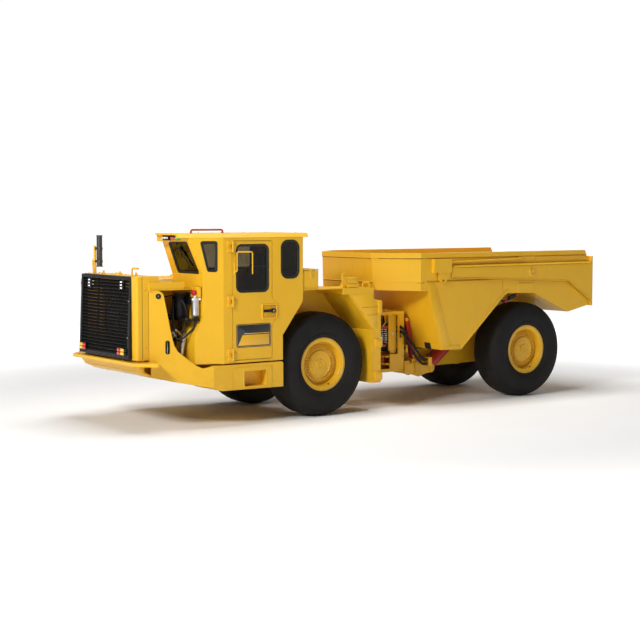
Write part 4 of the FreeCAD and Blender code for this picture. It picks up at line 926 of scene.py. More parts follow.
# cooler pipes along the core's foot
for y0, y1, z in ((-560, 560, 930), (-560, 560, 1660)):
    M.tube([(2412, y0, z), (2412, y1, z)], 14, None, 14, 1)
# cowl top: tube loop with its guard, looped handle, lifting lugs, seam, strip screws
M.tube([(2431, -690, 1856), (2420, -740, 2047), (2420, -685, 1990)], 10, 40, 12, 0)
M.tube([(2420, 307, 1856), (2420, 307, 1944), (2420, 463, 1944)], 11, 30, 12, 0)
M.lathe(P(2420, 307, 1855.5), UP, [(22, 0), (22, 5), (12, 8), (11, 8)], 20, 0)
for y in (-456, -22, 394):
    M.slab(P(2416, y - 26, 1856), YA, UP, loop2([(0, -1), (52, -1), (40, 40), (12, 40)], 8, 3), -12, 1.5, 0)
for x in (2340, 2490):
    for y in (-700, -350, 0, 350, 700):
        M.bolt(P(x, y, 1856), UP, 8, 0)
for z in (1010, 1700):
    M.bolt(P(2486, 745, z), YA, 8, 0)
    M.bolt(P(2486, -745, z), (0, -1, 0), 8, 0)
M.weld((2532, 744, 870), (2532, 744, 1780), 2.5, 0)
# thin black strip down the cowl's corner: painted shade of a recessed panel line
M.box(2523, 2528, 743, 745.8, 866, 1848, 0.4, 1)
# the stack's flat post is yellow
M.box(2411.5, 2428.5, -692, -648, 1856.5, 2206, 2, 0)
# filler cap on the cowl's cap
M.lathe(P(2360, -160, 1855.5), UP, [(58, 0), (58, 6), (50, 8), (46, 16), (40, 19), (0, 20)], 36, 0)
M.make("cowl_fittings", [M_YEL, M_BLK, M_STL, M_RED], "front_unit", "painted_yellow")

# ------------------------------------------------------------------ exhaust: bar clamp screws, rain lip
M = Mb()
for z in (2005, 2168):
    M.lathe(P(2420, -545, z - 13), UP, [(36, 0), (41, 0), (41.5, 2), (41.5, 24), (41, 26), (36, 26)], 40, 0)
    M.obox(P(2462, -556, z), XA, YA, 16, 24, 22, 2, 0)
    M.tube([(2466, -578, z), (2466, -532, z)], 4, None, 8, 0)
M.lathe(P(2420, -545, 2326), UP, [(36, 0), (39.5, 3), (39.5, 9), (36.3, 12), (33, 11)], 40, 1)
M.lathe(P(2420, -545, 1938), UP, [(36, 0), (46, 1), (46, 8), (37, 10)], 40, 1)
for i in range(14):
    z = 2030 + i * 8.5
    M.lathe(P(2420, -545, z), UP, [(36, 0), (37.4, 2), (37.4, 4), (36, 6)], 32, 1)
M.make("exhaust_clamps", [M_STACK, M_STACK], "front_unit", "black_paint")

# ------------------------------------------------------------------ engine bay dressing, left side
M = Mb()
# engine dressing: valve cover, manifold, belts, filters
for k in range(4):
    x = 1060 + k * 240
    M.box(x, x + 190, -210, -10, 1498, 1560, 16, 0, 3)
    for dx in (20, 170):
        M.bolt(P(x + dx, -110, 1560), UP, 9, 1)
M.tube([(1000, 168, 1330), (2060, 168, 1330)], 34, None, 20, 0)
for k in range(6):
    M.tube([(1080 + k * 180, 150, 1390), (1080 + k * 180, 168, 1330)], 22, None, 14, 0)
for z in (980, 1160):
    M.box(1000, 2100, 150, 158, z, z + 12, 2, 0)
for k in range(9):
    M.bolt(P(1010 + k * 134, 151, 1120), YA, 9, 1)
    M.bolt(P(1010 + k * 134, 151, 920), YA, 9, 1)
M.lathe(P(2152, -110, 1120), XA, [(0, 12), (120, 12), (132, 8), (132, 0), (120, -2)], 48, 0)
M.lathe(P(2150, 60, 1330), XA, [(0, 12), (60, 12), (66, 8), (66, 0)], 32, 0)
# dark box, and pale housing under the shelf
M.box(1560, 1780, 330, 640, 900, 1180, 14, 2, 3)
M.box(1585, 1755, 640, 652, 930, 1150, 4, 2)
for a, b in ((1600, 945), (1740, 945), (1600, 1135), (1740, 1135)):
    M.bolt(P(a, 652, b), YA, 7, 1)
# silver receiver with its caps and straps
RA, RD = P(1927, 714, 1113), Vector((50, -9, -238)).normalized()
M.lathe(RA, RD, [(0, -6), (18, -6), (25, 2), (27, 8), (27, 232), (24, 244), (0, 250)], 36, 3)
for h in (24, 120, 212):
    M.lathe(RA, RD, [(27, h), (30, h + 1), (30, h + 11), (27, h + 12)], 36, 1)
M.lathe(RA, RD, [(9, -24), (12, -22), (12, -6)], 6, 6)
# hoses: two that curve down and back, the tan sheathed pair, thin looms
H = lambda pts, r, mt=4, b=90: M.tube(pts, r, b, 14, mt)
H([(1955, 650, 1585), (1930, 738, 1500), (1882, 738, 1320), (1915, 705, 1190), (1985, 650, 1090), (2100, 560, 1050)], 14, 4, 120)
H([(2010, 600, 1560), (2078, 690, 1440), (2070, 700, 1260), (2030, 690, 1100), (2000, 620, 960)], 12, 4, 120)
H([(2100, 640, 1010), (2040, 704, 1208), (1962, 706, 1126)], 8, 5, 26)
H([(2160, 660, 1060), (2082, 706, 1180), (2010, 690, 1075)], 6, 6, 22)
for q in ((2040, 704, 1200), (2082, 706, 1172)):
    M.lathe(P(*q), UP, [(10, -14), (14, -12), (14, 2), (9, 6)], 6, 6)
H([(2260, 500, 980), (2190, 620, 1220), (2120, 520, 960), (2040, 430, 860)], 13, 5, 60)
H([(2270, 470, 1020), (2205, 640, 1245), (2090, 560, 1020), (1960, 420, 930)], 9, 6, 60)
H([(1905, 571, 1320), (1905, 571, 1240), (1840, 520, 1120), (1840, 360, 1060)], 19, 4, 70)
H([(1857, 860, 1310), (1880, 850, 1210), (1990, 760, 1080), (2150, 560, 1020), (2290, 470, 1010)], 13, 4, 90)
H([(1842, 760, 1640), (1905, 740, 1652), (1985, 690, 1630), (2100, 560, 1600), (2290, 460, 1560)], 6, 4, 60)
H([(1830, 600, 1560), (1790, 520, 1480), (1700, 430, 1400), (1560, 250, 1380)], 10, 4, 80)
for k in range(4):
    H([(2290, 430 + 22 * k, 1180 + 60 * k), (2200, 470 + 10 * k, 1210 + 55 * k), (2080, 330, 1250 + 40 * k), (1960, 190, 1260 + 40 * k)], 8, 4, 80)
# radiator side tank, with ribs and its hose necks
M.box(2296, 2404, 590, 632, 925, 1668, 10, 0, 3)
for z in (1000, 1110, 1220, 1330, 1440, 1550, 1640):
    M.box(2292, 2408, 628, 637, z, z + 10, 3, 0)
M.lathe(P(2300, 480, 1560), (-1, 0, 0), [(46, 0), (46, 40), (40, 46), (40, 60), (0, 60)], 28, 0)
H([(2260, 480, 1560), (2190, 440, 1560), (2120, 250, 1520), (2090, 100, 1500)], 36, 4, 110)
M.lathe(P(2276, 480, 1560), (-1, 0, 0), [(46, 0), (48, 2), (48, 12), (46, 14)], 28, 1)
M.make("engine_dressing", [M_IRON, M_STL, M_BLK, M_ALU, M_HOSE, M_TAN, M_STL], "front_unit", "black_paint")

M = Mb()
# filter and canister: heads, ribs, fittings, clamps
M.lathe(P(1905, 571, 1598), UP, [(88, 0), (92, 2), (92, 16), (86, 22), (70, 26), (66, 40), (0, 42)], 48, 0)
for z in (1362, 1470, 1560):
    M.lathe(P(1905, 571, z), UP, [(88, 0), (91, 1), (91, 17), (88, 18)], 48, 0)
M.obox(P(1905, 571 + 96, 1371), XA, UP, 30, 12, 14, 2, 0)
FX_, FY_ = 1857, 860
M.lathe(P(FX_, FY_, 1377), UP, [(46, 0), (48.6, 2), (48.6, 183), (46, 185)], 44, 2)
M.box(1809, 1841.5, 713.5, 923.5, 1594.5, 1721.5, 4, 6, 3)
M.lathe(P(FX_, FY_, 1560), UP, [(48, 0), (52, 2), (54, 8), (54, 24), (48, 30), (32, 32), (28, 42), (0, 44)], 40, 2)
for k in range(10):
    M.lathe(P(FX_, FY_, 1386 + k * 7), UP, [(48, 0), (49, 1), (49, 3), (48, 4)], 40, 3)
M.lathe(P(FX_, FY_, 1376), UP, [(30, -14), (36, -12), (50, 2), (50, 8), (48, 10)], 40, 2)
for t in (0.6, 2.2, 3.7):
    d = Vector((math.cos(t), math.sin(t), 0))
    c = P(FX_, FY_, 1574) + d * 0.046
    M.lathe(c, d, [(11, 0), (11, 10), (15, 10), (15, 22), (9, 24), (0, 24)], 6, 4)
M.lathe(P(FX_, FY_, 1600), UP, [(10, 0), (10, 14), (6, 16), (0, 16)], 6, 4)
# stop knob on its yellow box, facing forwards
KC = P(1841.5, 850, 1655)
M.lathe(KC, XA, [(40, 0.5), (40, 3), (33, 3.5), (28, 3)], 36, 6)
M.lathe(KC, XA, [(24, 0), (26, 3), (20, 6), (14, 7), (14, 24), (31, 28), (37, 36), (34, 47), (24, 55), (0, 58)], 36, 5)
for a, b in ((728, 1608), (908, 1608), (728, 1708), (908, 1708)):
    M.bolt(P(1840, a, b), XA, 4.5, 3, False)
for a in (1580, 1560):
    M.bolt(P(1850, 600, a), XA, 4.5, 3, False)
# shelf edge bolts
for x in (1840, 1900, 1970):
    M.bolt(P(x, 836, 1330), UP, 8, 3)
for x in (1850, 1960):
    M.bolt(P(x, 250, 1330), UP, 8, 3)
M.make("filter_fittings", [M_BLK, M_STL, M_ALU, M_STL, M_LWHT, M_KNOB, M_YEL], "front_unit", "filter_metal")

# ------------------------------------------------------------------ hood: panel seams, screws, latches, right side vents
M = Mb()
for x in (-236, 690, 1320, 1900):
    M.box(x, x + 5, -740, 168, 1500 if x < 0 else 1789.4, 1791.4, 0.6, 0) if x > 0 else None
for x in (740, 1000, 1300, 1600, 1880):
    for y in (-700, 140):
        M.bolt(P(x, y, 1790), UP, 8, 0)
for x in (1990, 2160, 2360):
    M.bolt(P(x, 720, 1790), UP, 7, 0)
# low cover plate over the filler, with its lift loop
M.lathe(P(1500, -300, 1789), UP, [(150, 0), (150, 5), (144, 8), (0, 8)], 56, 0)
M.tube([(1470, -300, 1796), (1470, -300, 1822), (1530, -300, 1822), (1530, -300, 1796)], 6, 14, 10, 0)
# right flank: raised panel, lift handles, louvres
for x0, x1 in ((1580, 1960), (1990, 2400)):
    M.slab(P(0, -750, 0), XA, UP, loop2([(x0, 940), (x1, 940), (x1, 1740), (x0, 1740)], 30, 5), 5, 1.5, 0)
    for k in range(7):
        z = 1430 + k * 36
        M.obox(P((x0 + x1) / 2, -757, z), XA, Vector((0, -0.8, -0.6)), x1 - x0 - 90, 26, 5, 2, 0)
    M.tube([(x0 + 60, -754, 1300), (x0 + 60, -790, 1300), (x0 + 180, -790, 1300), (x0 + 180, -754, 1300)], 6, 16, 10, 1)
    for a in (x0 + 25, x1 - 25):
        for z in (965, 1340, 1715):
            M.bolt(P(a, -755, z), (0, -1, 0), 7, 1)
M.make("hood_fittings", [M_YEL, M_BLK], "front_unit", "painted_yellow")

# ------------------------------------------------------------------ rear fender boxes, deck and toolbox trim
M = Mb()
for sg in (1, -1):
    d = Vector((0, sg, 0))
    # seam band, pads, bolts
    M.box(-878 - 6, -878, sg * 470, sg * 1010, 1272, 1306, 2, 0)
    M.box(-882, -640, sg * 1034, sg * 1044, 1289, 1303, 2, 0)
    M.box(-884, -822, sg * 1030, sg * 1056, 1304, 1462, 4, 0)
    M.box(-884, -822, sg * 1030, sg * 1048, 1462, 1474, 4, 0)
    for z0, z1 in ((855, 966), (417, 530)):
        M.box(-885, -768, sg * 1028, sg * 1058, z0, z1, 5, 0, 2)
        M.box(-885, -820, sg * 1028, sg * 1062, z0 + 26, z1 - 26, 4, 0, 2)
        for a in (-806, -790):
            for b in (z0 + 18, z1 - 18):
                M.bolt(P(a, sg * 1058, b), d, 6, 0)
    # doubler on the upper slant
    pts = [(-740, 1120), (-430, 1490), (-400, 1560), (-700, 1560), (-800, 1430), (-800, 1120)]
    g = loop2([(a, b) for a, b in pts], 60, 6)
    if sg > 0:
        M.slab(P(0, 1034, 0), (-1, 0, 0), UP, [(-a, b) for a, b in g][::-1], 7, 2, 0)
    else:
        M.slab(P(0, -1034, 0), XA, UP, g, 7, 2, 0)
    # edge bead under the arch
    path = [P(a, sg * 1034, b) for a, b in ((-733, 400), (-733, 1074), (-748, 1086), (-369, 1533), (-353, 1572), (-250, 1572))]
    M.sweep_round(fillet(path, 0.02, 4), 0.006, 8, 0)
    for z in (500, 700, 900, 1180, 1400):
        M.bolt(P(-880, sg * 1000, z), (-1, 0, 0), 7, 0)
# clip bracket, small box and loop handle on the left deck
M.box(-288, -239, 985, 1030, 1653, 1703, 3, 0)
M.slab(P(0, 1028, 0), (-1, 0, 0), UP, loop2([(239, 1703), (288, 1703), (288, 1835), (239, 1847)], 8, 3), -8, 1.5, 0)
M.bolt(P(-263, 1028, 1800), YA, 8, 0)
M.bolt(P(-263, 1028, 1740), YA, 6, 0)
M.box(-532, -330, 880, 1020, 1653, 1700, 5, 0)
M.box(-520, -342, 892, 1008, 1700, 1768, 8, 0, 3)
M.box(-526, -336, 886, 1014, 1768, 1780, 4, 0)
for a in (-500, -362):
    M.bolt(P(a, 1009, 1735), YA, 5, 2)
M.tube([(-600, 1000, 1641), (-600, 1000, 1714), (-706, 1000, 1714), (-706, 1000, 1641)], 9, 26, 12, 0)
# toolbox: latch plate, slats, feet
M.box(236 - 26, 236 + 26, 1020, 1027, 1800, 1880, 3, 0)
M.lathe(P(236, 1026, 1836), YA, [(16, 0), (16, 4), (13, 6), (0, 6)], 20, 2)
for k in range(5):
    M.box(150 + k * 42, 172 + k * 42, 1020, 1024, 1668, 1684, 1.5, 0)
for a, b in ((140, 1680), (356, 1680), (140, 1870), (356, 1870)):
    M.bolt(P(a, 1020, b), YA, 6, 0)
for k in range(3):
    M.box(92, 128, 690 + k * 90, 760 + k * 90, 1656, 1676, 4, 1)
# non-slip studs on the deck
for i in range(9):
    for j in range(6):
        M.lathe(P(-230 + i * 36, 220 + j * 70, 1653), UP, [(0, 4), (5, 4), (7, 1.5), (8, 0)], 10, 0)
for i in range(10):
    for j in range(3):
        M.lathe(P(-200 + i * 90, -830 - j * 70, 1653), UP, [(0, 4), (5, 4), (7, 1.5), (8, 0)], 10, 0)
M.make("fender_fittings", [M_YEL, M_BLK, M_STL], "front_unit", "painted_yellow")

M = Mb()
M.box(214, 258, 1012, 1030, 1888, 1912, 3, 0)
for k in range(3):
    M.box(150 + k * 70, 158 + k * 70, 650, 1010, 1906.5, 1909.5, 1, 0)
M.make("toolbox_lid_catch", [M_YEL, M_BLK], "toolbox_lid", "painted_yellow")

# ------------------------------------------------------------------ hydraulic tank, right side: gauge, cap, drain, steps, rails
M = Mb()
M.lathe(P(1100, -900, 1640), UP, [(64, 0), (64, 14), (56, 18), (52, 34), (46, 40), (0, 42)], 40, 1)
M.tube([(1100, -900, 1684), (1100, -900, 1697)], 10, None, 12, 2)
M.slab(P(0, -1034, 0), XA, UP, loop2([(1240, 1180), (1290, 1180), (1290, 1400), (1240, 1400)], 20, 5), 6, 1.5, 1)
M.slab(P(0, -1040, 0), XA, UP, loop2([(1254, 1205), (1276, 1205), (1276, 1375), (1254, 1375)], 8, 4), 4, 1, 4)
for z in (1192, 1388):
    M.bolt(P(1265, -1040, z), (0, -1, 0), 6, 2)
for x in (760, 960, 1160, 1360):
    for z in (800, 1590):
        M.bolt(P(x, -1034, z), (0, -1, 0), 8, 0)
M.lathe(P(1100, -1034, 830), (0, -1, 0), [(30, 0), (30, 8), (24, 12), (0, 12)], 28, 2)
# filler plate on the tank's side
M.lathe(P(920, -1034, 1420), (0, -1, 0), [(92, 0), (92, 6), (86, 9), (0, 9)], 48, 0)
for k in range(8):
    t = math.pi * k / 4
    M.bolt(P(920 + 74 * math.cos(t), -1043, 1420 + 74 * math.sin(t)), (0, -1, 0), 6.5, 2)
# ladder of three rungs and a grab rail
for z in (900, 1150, 1400):
    M.tube([(1540, -752, z), (1540, -990, z), (1760, -990, z), (1760, -752, z)], 13, 40, 12, 3)
# battery box on the right deck
M.box(-200, 320, -1020, -760, 1653, 1830, 14, 0, 3)
M.box(-206, 326, -1026, -754, 1830, 1846, 5, 0)
for a in (-120, 240):
    M.box(a - 18, a + 18, -1034, -1018, 1790, 1850, 3, 1)
for k in range(6):
    M.box(-150 + k * 76, -110 + k * 76, -1023, -1018, 1690, 1698, 1.5, 1)
M.make("right_side_fittings", [M_YEL, M_BLK, M_STL, M_RED, M_LWHT], "front_unit", "painted_yellow")

# ------------------------------------------------------------------ cab inside: cushioned seat, wheel, levers, panels
def cushion(name, c, sx, sy, sz, rx=0.0, crown=18, body="front_unit", panels=3):
    """Closed cushion centred at c (mm): rounded block, crowned top, bolsters along the sides and sewn panel lines."""
    nx, ny = 26, 26
    M = Mb()
    rot = Matrix.Rotation(math.radians(rx), 3, "Y")
    verts, faces = [], []
    def prof(u):
        return (1 - abs(u) ** 5) ** 0.5
    def put(u, v, side):
        # u, v in -1..1
        x, y = u * sx / 2, v * sy / 2
        edge = prof(u) * prof(v)
        z = sz / 2 * (0.35 + 0.65 * edge) + crown * (1 - u * u) * (1 - v * v) * edge
        b = math.exp(-((abs(v) - 0.74) / 0.13) ** 2) * 11 * edge
        z += b
        for k in range(1, panels + 1):
            q = -1 + 2 * k / (panels + 1)
            z -= 6.5 * math.exp(-((u - q) / 0.028) ** 2) * (1 if abs(v) < 0.58 else 0)
        z -= 6.5 * math.exp(-((abs(v) - 0.58) / 0.024) ** 2) * edge
        if side < 0:
            z = -sz / 2 * (0.35 + 0.65 * edge)
        return Vector((x, y, z))
    idx = {}
    for side in (1, -1):
        for i in range(nx + 1):
            for j in range(ny + 1):
                u, v = -math.cos(math.pi * i / nx), -math.cos(math.pi * j / ny)
                if side < 0 and (i in (0, nx) or j in (0, ny)):
                    idx[side, i, j] = idx[1, i, j]
                    continue
                if i in (0, nx) or j in (0, ny):
                    z = 0
                    pnt = Vector((u * sx / 2, v * sy / 2, 0))
                else:
                    pnt = put(u, v, side)
                idx[side, i, j] = len(verts)
                verts.append(P(*c) + rot @ pnt / 1000)
    for i in range(nx):
        for j in range(ny):
            faces.append((idx[1, i, j], idx[1, i + 1, j], idx[1, i + 1, j + 1], idx[1, i, j + 1]))
            faces.append((idx[-1, i, j], idx[-1, i, j + 1], idx[-1, i + 1, j + 1], idx[-1, i + 1, j]))
    M.add(verts, faces, 0)
    ob = M.make(name, [M_VIN], body, "seat_vinyl", 60)
    return ob


seat_parts = [cushion("seat_cushion", (1035, 650, 1228), 455, 465, 110, -3, 12),
              cushion("seat_back", (822, 650, 1600), 640, 445, 105, -84, 10, panels=4),
              cushion("seat_headrest", (812, 650, 2032), 150, 280, 88, -86, 6, panels=1)]
M = Mb()
# pan, side cheeks, suspension bellows, slides, arm rests, belt reel
M.box(805, 1262, 425, 875, 1150, 1184, 12, 0, 3)
M.box(742, 790, 440, 860, 1180, 1930, 18, 0, 3)
for y in (500, 560, 740, 800):
    pass
for k in range(6):
    z = 862 + k * 46
    M.lathe(P(1020, 650, z), UP, [(150, 0), (182, 12), (184, 24), (150, 40), (150, 46)], 36, 2)
M.box(860, 1190, 480, 820, 1136, 1156, 6, 1)
for y in (430, 870):
    M.box(880, 1180, y - 32, y + 32, 1418, 1462, 16, 0, 3)
    M.tube([(800, y, 1330), (905, y, 1330), (905, y, 1440)], 13, 30, 12, 1)
for y in (590, 710):
    M.tube([(770, y, 1900), (790, y, 2030)], 7, None, 10, 3)
M.box(845, 895, 862, 884, 1165, 1235, 6, 0)
M.make("seat_frame", [M_PLAS, M_BLK, M_SEAL, M_CHR], "front_unit", "seat_vinyl")
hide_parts("operator_seat")

M = Mb()
# steering wheel on a raked column, spinner knob
wc = P(1470, 640, 1585)
wd = Vector((-0.62, 0, 0.785)).normalized()
a = Vector((0, 1, 0))
b = wd.cross(a)
ringp = [wc + (a * math.cos(t) + b * math.sin(t)) * 0.185 for t in [2 * math.pi * i / 48 for i in range(48)]]
M.sweep_round(ringp, 0.0145, 12, 0, True)
for t in (0.5, 2.64, 4.71):
    M.tube([tuple(wc - wd * 0.01), tuple(wc + (a * math.cos(t) + b * math.sin(t)) * 0.182)], 9, None, 10, 0, mm=False)
M.lathe(wc - wd * 0.025, wd, [(34, 0), (38, 8), (36, 28), (20, 34), (0, 35)], 28, 0)
M.tube([tuple(wc - wd * 0.02), tuple(P(1570, 640, 1470))], 24, None, 18, 1, mm=False)
M.cyl(wc + (a * math.cos(1.2) + b * math.sin(1.2)) * 0.185, wd, 16, 42, 0)
# gauge hood, screens, switch row on the console's face
M.obox(P(1602, 560, 1665), Vector((1, 0, 0.72)), YA, 110, 330, 40, 10, 0, 3)
for y, r in ((470, 34), (560, 46), (650, 34)):
    c = P(1590, y, 1692)
    n = Vector((-0.585, 0, 0.81))
    M.lathe(c, n, [(r, 0), (r + 3, 3), (r, 6), (r - 4, 4), (0, 3)], 32, 1)
    M.lathe(c + n * 0.0032, n, [(0, 0.6), (r - 6, 0.6), (r - 5, 0)], 32, 2)
    t = random.uniform(0.4, 2.6)
    u = Vector((0, 1, 0))
    w = n.cross(u)
    M.tube([tuple(c + n * 0.0045), tuple(c + n * 0.0045 + (u * math.cos(t) + w * math.sin(t)) * (r - 10) / 1000)], 1.2, None, 6, 3, mm=False)
for k in range(8):
    M.obox(P(1548, 400 + 46 * k, 1592), Vector((0.15, 0, 1)), YA, 26, 30, 10, 3, 1 if k % 3 else 3)
# right-hand pedestal with two levers and the hoist grip
M.box(980, 1330, 240, 345, 850, 1400, 22, 0, 3)
for x, h in ((1120, 120), (1220, 95)):
    M.lathe(P(x, 292, 1398), UP, [(38, 0), (34, 14), (20, 30), (14, 42)], 24, 4)
    M.tube([(x, 292, 1430), (x + 12, 292, 1430 + h)], 7, None, 10, 5)
    M.lathe(P(x + 12, 292, 1425 + h), UP, [(0, 0), (18, 6), (22, 26), (19, 50), (10, 60), (0, 62)], 24, 0)
for k in range(6):
    M.box(1010 + k * 18, 1024 + k * 18, 262, 290, 1399, 1406, 2, 1 if k % 2 else 3)
# pedals, mat with ribs, dome lamp
for y in (560, 720):
    M.obox(P(1500, y, 905), Vector((0.55, 0, 0.83)), YA, 150, 82, 14, 5, 0, 2)
    for k in range(5):
        M.obox(P(1490 + k * 12, y, 895 + k * 22), Vector((0.55, 0, 0.83)), YA, 6, 74, 20, 2, 0)
    M.tube([(1510, y, 880), (1570, y, 815)], 11, None, 10, 5)
M.box(720, 1430, 240, 1000, 809, 816, 3, 4)
for k in range(16):
    M.box(740 + k * 43, 752 + k * 43, 260, 985, 815, 819, 1, 4)
M.lathe(P(1000, 600, 2284), (0, 0, -1), [(70, 0), (70, 14), (60, 24), (0, 26)], 32, 6)
M.make("cab_controls", [M_PLAS, M_BLK, M_LWHT, M_LRED, M_ASH, M_CHR, M_LWHT], "front_unit", "console_plastic")

# ------------------------------------------------------------------ front bumper: bolts and a weld bead
M = Mb()
for y in (-760, -400, 400, 760):
    M.bolt(P(2610, y, 830), UP, 9, 0)
M.weld((2672, -815, 831), (2672, 815, 831), 1.5, 0)
M.make("bumper_fittings", [M_YEL, M_STL], "front_unit", "painted_yellow")

# ------------------------------------------------------------------ hitch tower: springs, hoses, pins' caps, valve bank
def coil(M, p, q, r, wire, turns, mat):
    p, q = P(*p), P(*q)
    d = (q - p)
    L = d.length
    d.normalize()
    a = Vector((0, 1, 0)) if abs(d.y) < 0.9 else Vector((1, 0, 0))
    u = (a - d * a.dot(d)).normalized()
    w = d.cross(u)
    k = turns * 14
    path = [p + d * (L * i / k) + (u * math.cos(2 * math.pi * i / 14) + w * math.sin(2 * math.pi * i / 14)) * r / 1000 for i in range(k + 1)]
    M.sweep_round(path, wire / 1000, 8, mat)


M = Mb()
for sg in (1, -1):
    y = 380 * sg
    # hose bundle, springs and couplings inside the open side of the tower
    for k in range(3):
        x0, yy = -1362 - 30 * k, (425 + 10 * (k % 2)) * sg
        M.tube([(x0 - 70, yy - 40 * sg, 742), (x0, yy, 748), (x0 - 4, yy + 18 * sg, 900), (x0 - 14, yy, 1090), (x0 - 60, yy - 90 * sg, 1215)], 11, 60, 12, 1 if k % 2 else 0)
    # spring packs in front of a black panel that paints the shade inside the tower, red couplings above and below
    M.box(-1449, -1442, 250 * sg, 470 * sg, 720, 1110, 3, 1)
    for x0 in (-1346, -1412):
        coil(M, (x0, 452 * sg, 828), (x0, 452 * sg, 1030), 27, 6.0, 7, 4)
        M.cyl(P(x0, 452 * sg, 930), UP, 15, 240, 1)
    M.obox(P(-1380, 452 * sg, 1058), XA, YA, 138, 52, 40, 8, 3)
    M.obox(P(-1362, 452 * sg, 806), XA, YA, 100, 52, 30, 8, 3)
    M.tube([(-1395, 452 * sg, 1245), (-1395, 482 * sg, 1120), (-1350, 482 * sg, 1085), (-1350, 452 * sg, 1060)], 8, 30, 10, 6)
    # black closing panels behind the steering eyes, between and around their plates: painted shade for the tower's
    # inside
    for z0, z1 in ((462, 536), (560, 640), (664, 738)):
        M.box(-1690, -1683, 242 * sg, 479 * sg, z0, z1, 1, 1)
    # inner plate closing the side behind the bulkhead
    M.box(-1602, -1490, 452 * sg, 459 * sg, 684, 1228, 2, 6)
    for z in (760, 930, 1150):
        M.bolt(P(-1585, 459 * sg, z), (0, sg, 0), 7, 6)
    # raised edge along the opening
    M.box(-1610, -1600, 500 * sg, 508 * sg, 684, 1225, 1.5, 6)
    for z in (460, 640, 820, 1000, 1180):
        M.bolt(P(-1688, 500 * sg, z), (0, sg, 0), 8, 6)
    for x in (-1560, -1400):
        M.bolt(P(x, 500 * sg, 1225), (0, sg, 0), 8, 6)
# hitch pins' cover plates
for z, d in ((1250 + 20, UP), ):
    M.lathe(P(-1400, 0, 1270), UP, [(70, 0), (70, 8), (62, 12), (0, 12)], 36, 6)
# two top clips on the plate
for y in (-300, 300):
    M.obox(P(-1560, y, 1278), XA, YA, 60, 26, 14, 3, 6)
    M.bolt(P(-1560, y, 1285), UP, 8, 4)
M.make("tower_pipes", [M_HOSE, M_BLK, M_STL, M_RED, M_CHR, M_TAN, M_YEL], "rear_unit", "hose_rubber")

M = Mb()
# valve bank's spools, port fittings and plugs
for k in range(5):
    z = 878 + k * 46
    M.cyl(P(-1700, 345, z), (-1, 0, 0), 15, 26, 0)
    M.bolt(P(-1595, 420, z), YA, 12, 1, False)
    M.cyl(P(-1540, 420, z), YA, 10, 18, 1, 6)
for k in range(3):
    M.lathe(P(-1650 + 55 * k, 360, 1090), UP, [(17, 0), (17, 14), (13, 18), (13, 30), (0, 30)], 6, 1)
M.make("valve_fittings", [M_BLK, M_STL], "rear_unit", "filter_metal")

# ------------------------------------------------------------------ cylinders: glands, wipers, ports, eye bosses
def cyl_trim(name, body, p, q, R, barrel_len, mats=None):
    """Gland nut, tie rings, ports and a hard line along a barrel from p (base pin) towards q."""
    M = Mb()
    p, q = P(*p), P(*q)
    d = (q - p).normalized()
    a = Vector((0, 0, 1))
    u = (a - d * a.dot(d)).normalized()
    w = d.cross(u)
    e = p + d * barrel_len / 1000
    M.lathe(e - d * 0.045, d, [(R, 0), (R + 5, 2), (R + 5, 34), (R + 2, 38), (R - 6, 40), (R - 8, 44)], 40, 0)
    for k in range(6):
        t = math.pi * k / 3
        M.obox(e - d * 0.026 + (u * math.cos(t) + w * math.sin(t)) * (R + 4) / 1000, d, w * math.cos(t) - u * math.sin(t), 18, 16, 4, 1, 1)
    for f, up in ((0.14, u), (0.86, u)):
        c = p + d * barrel_len * f / 1000 + up * (R - 2) / 1000
        M.obox(c + up * 0.012, d, w, 44, 40, 26, 4, 0, 3)
        M.lathe(c + up * 0.024, up, [(15, 0), (15, 12), (12, 14), (0, 14)], 6, 1)
    M.tube([tuple(p + d * barrel_len * f / 1000 + u * (R + 24 + (0 if 0.2 < f < 0.8 else 6)) / 1000) for f in (0.16, 0.3, 0.7, 0.84)], 7, 20, 10, 2, mm=False)
    M.weld(tuple(1000 * c for c in (p + d * 0.07 - Vector((S, 0, 0)) + w * (R + 1) / 1000)), tuple(1000 * c for c in (p + d * 0.07 - Vector((S, 0, 0)) + w * (R + 1) / 1000 + d * 0.02)), 2, 0)
    return M


for side, sg in (("left", 1), ("right", -1)):
    M = cyl_trim("", "", (-450, 270 * sg, 600), (-1450, 340 * sg, 600), 48, 430)
    M.make("steer_barrel_ports_" + side, [M_RED, M_STL, M_HOSE], "steer_barrel_" + side, "red_paint")
    # red eye and the collar that holds it on the rod
    M = Mb()
    e, q = P(-1450, 340 * sg, 600), P(-450, 270 * sg, 600)
    d = (q - e).normalized()
    M.lathe(P(-1450, 340 * sg, 566), UP, [(41, 0), (43.5, 2), (43.5, 66), (41, 68)], 40, 0)
    M.lathe(e + d * 0.046, d, [(25, -8), (38, 0), (38, 56), (32, 66), (25, 66)], 36, 0)
    M.lathe(e + d * 0.112, d, [(25, 0), (31, 1), (31, 13), (25, 14)], 6, 1)
    M.make("steer_eye_collar_" + side, [M_RED, M_STL], "steer_rod_" + side, "red_paint")
M = Mb()
for sg in (1, -1):
    K = cyl_trim("", "", (-2200, 380 * sg, 450), (-3300, 380 * sg, 1280), 85, 640)
    M.add(K.v, K.f, 0)
    M.m[-len(K.f):] = K.m
M.make("hoist_barrel_ports", [M_RED, M_STL, M_HOSE], "hoist_barrels", "red_paint")
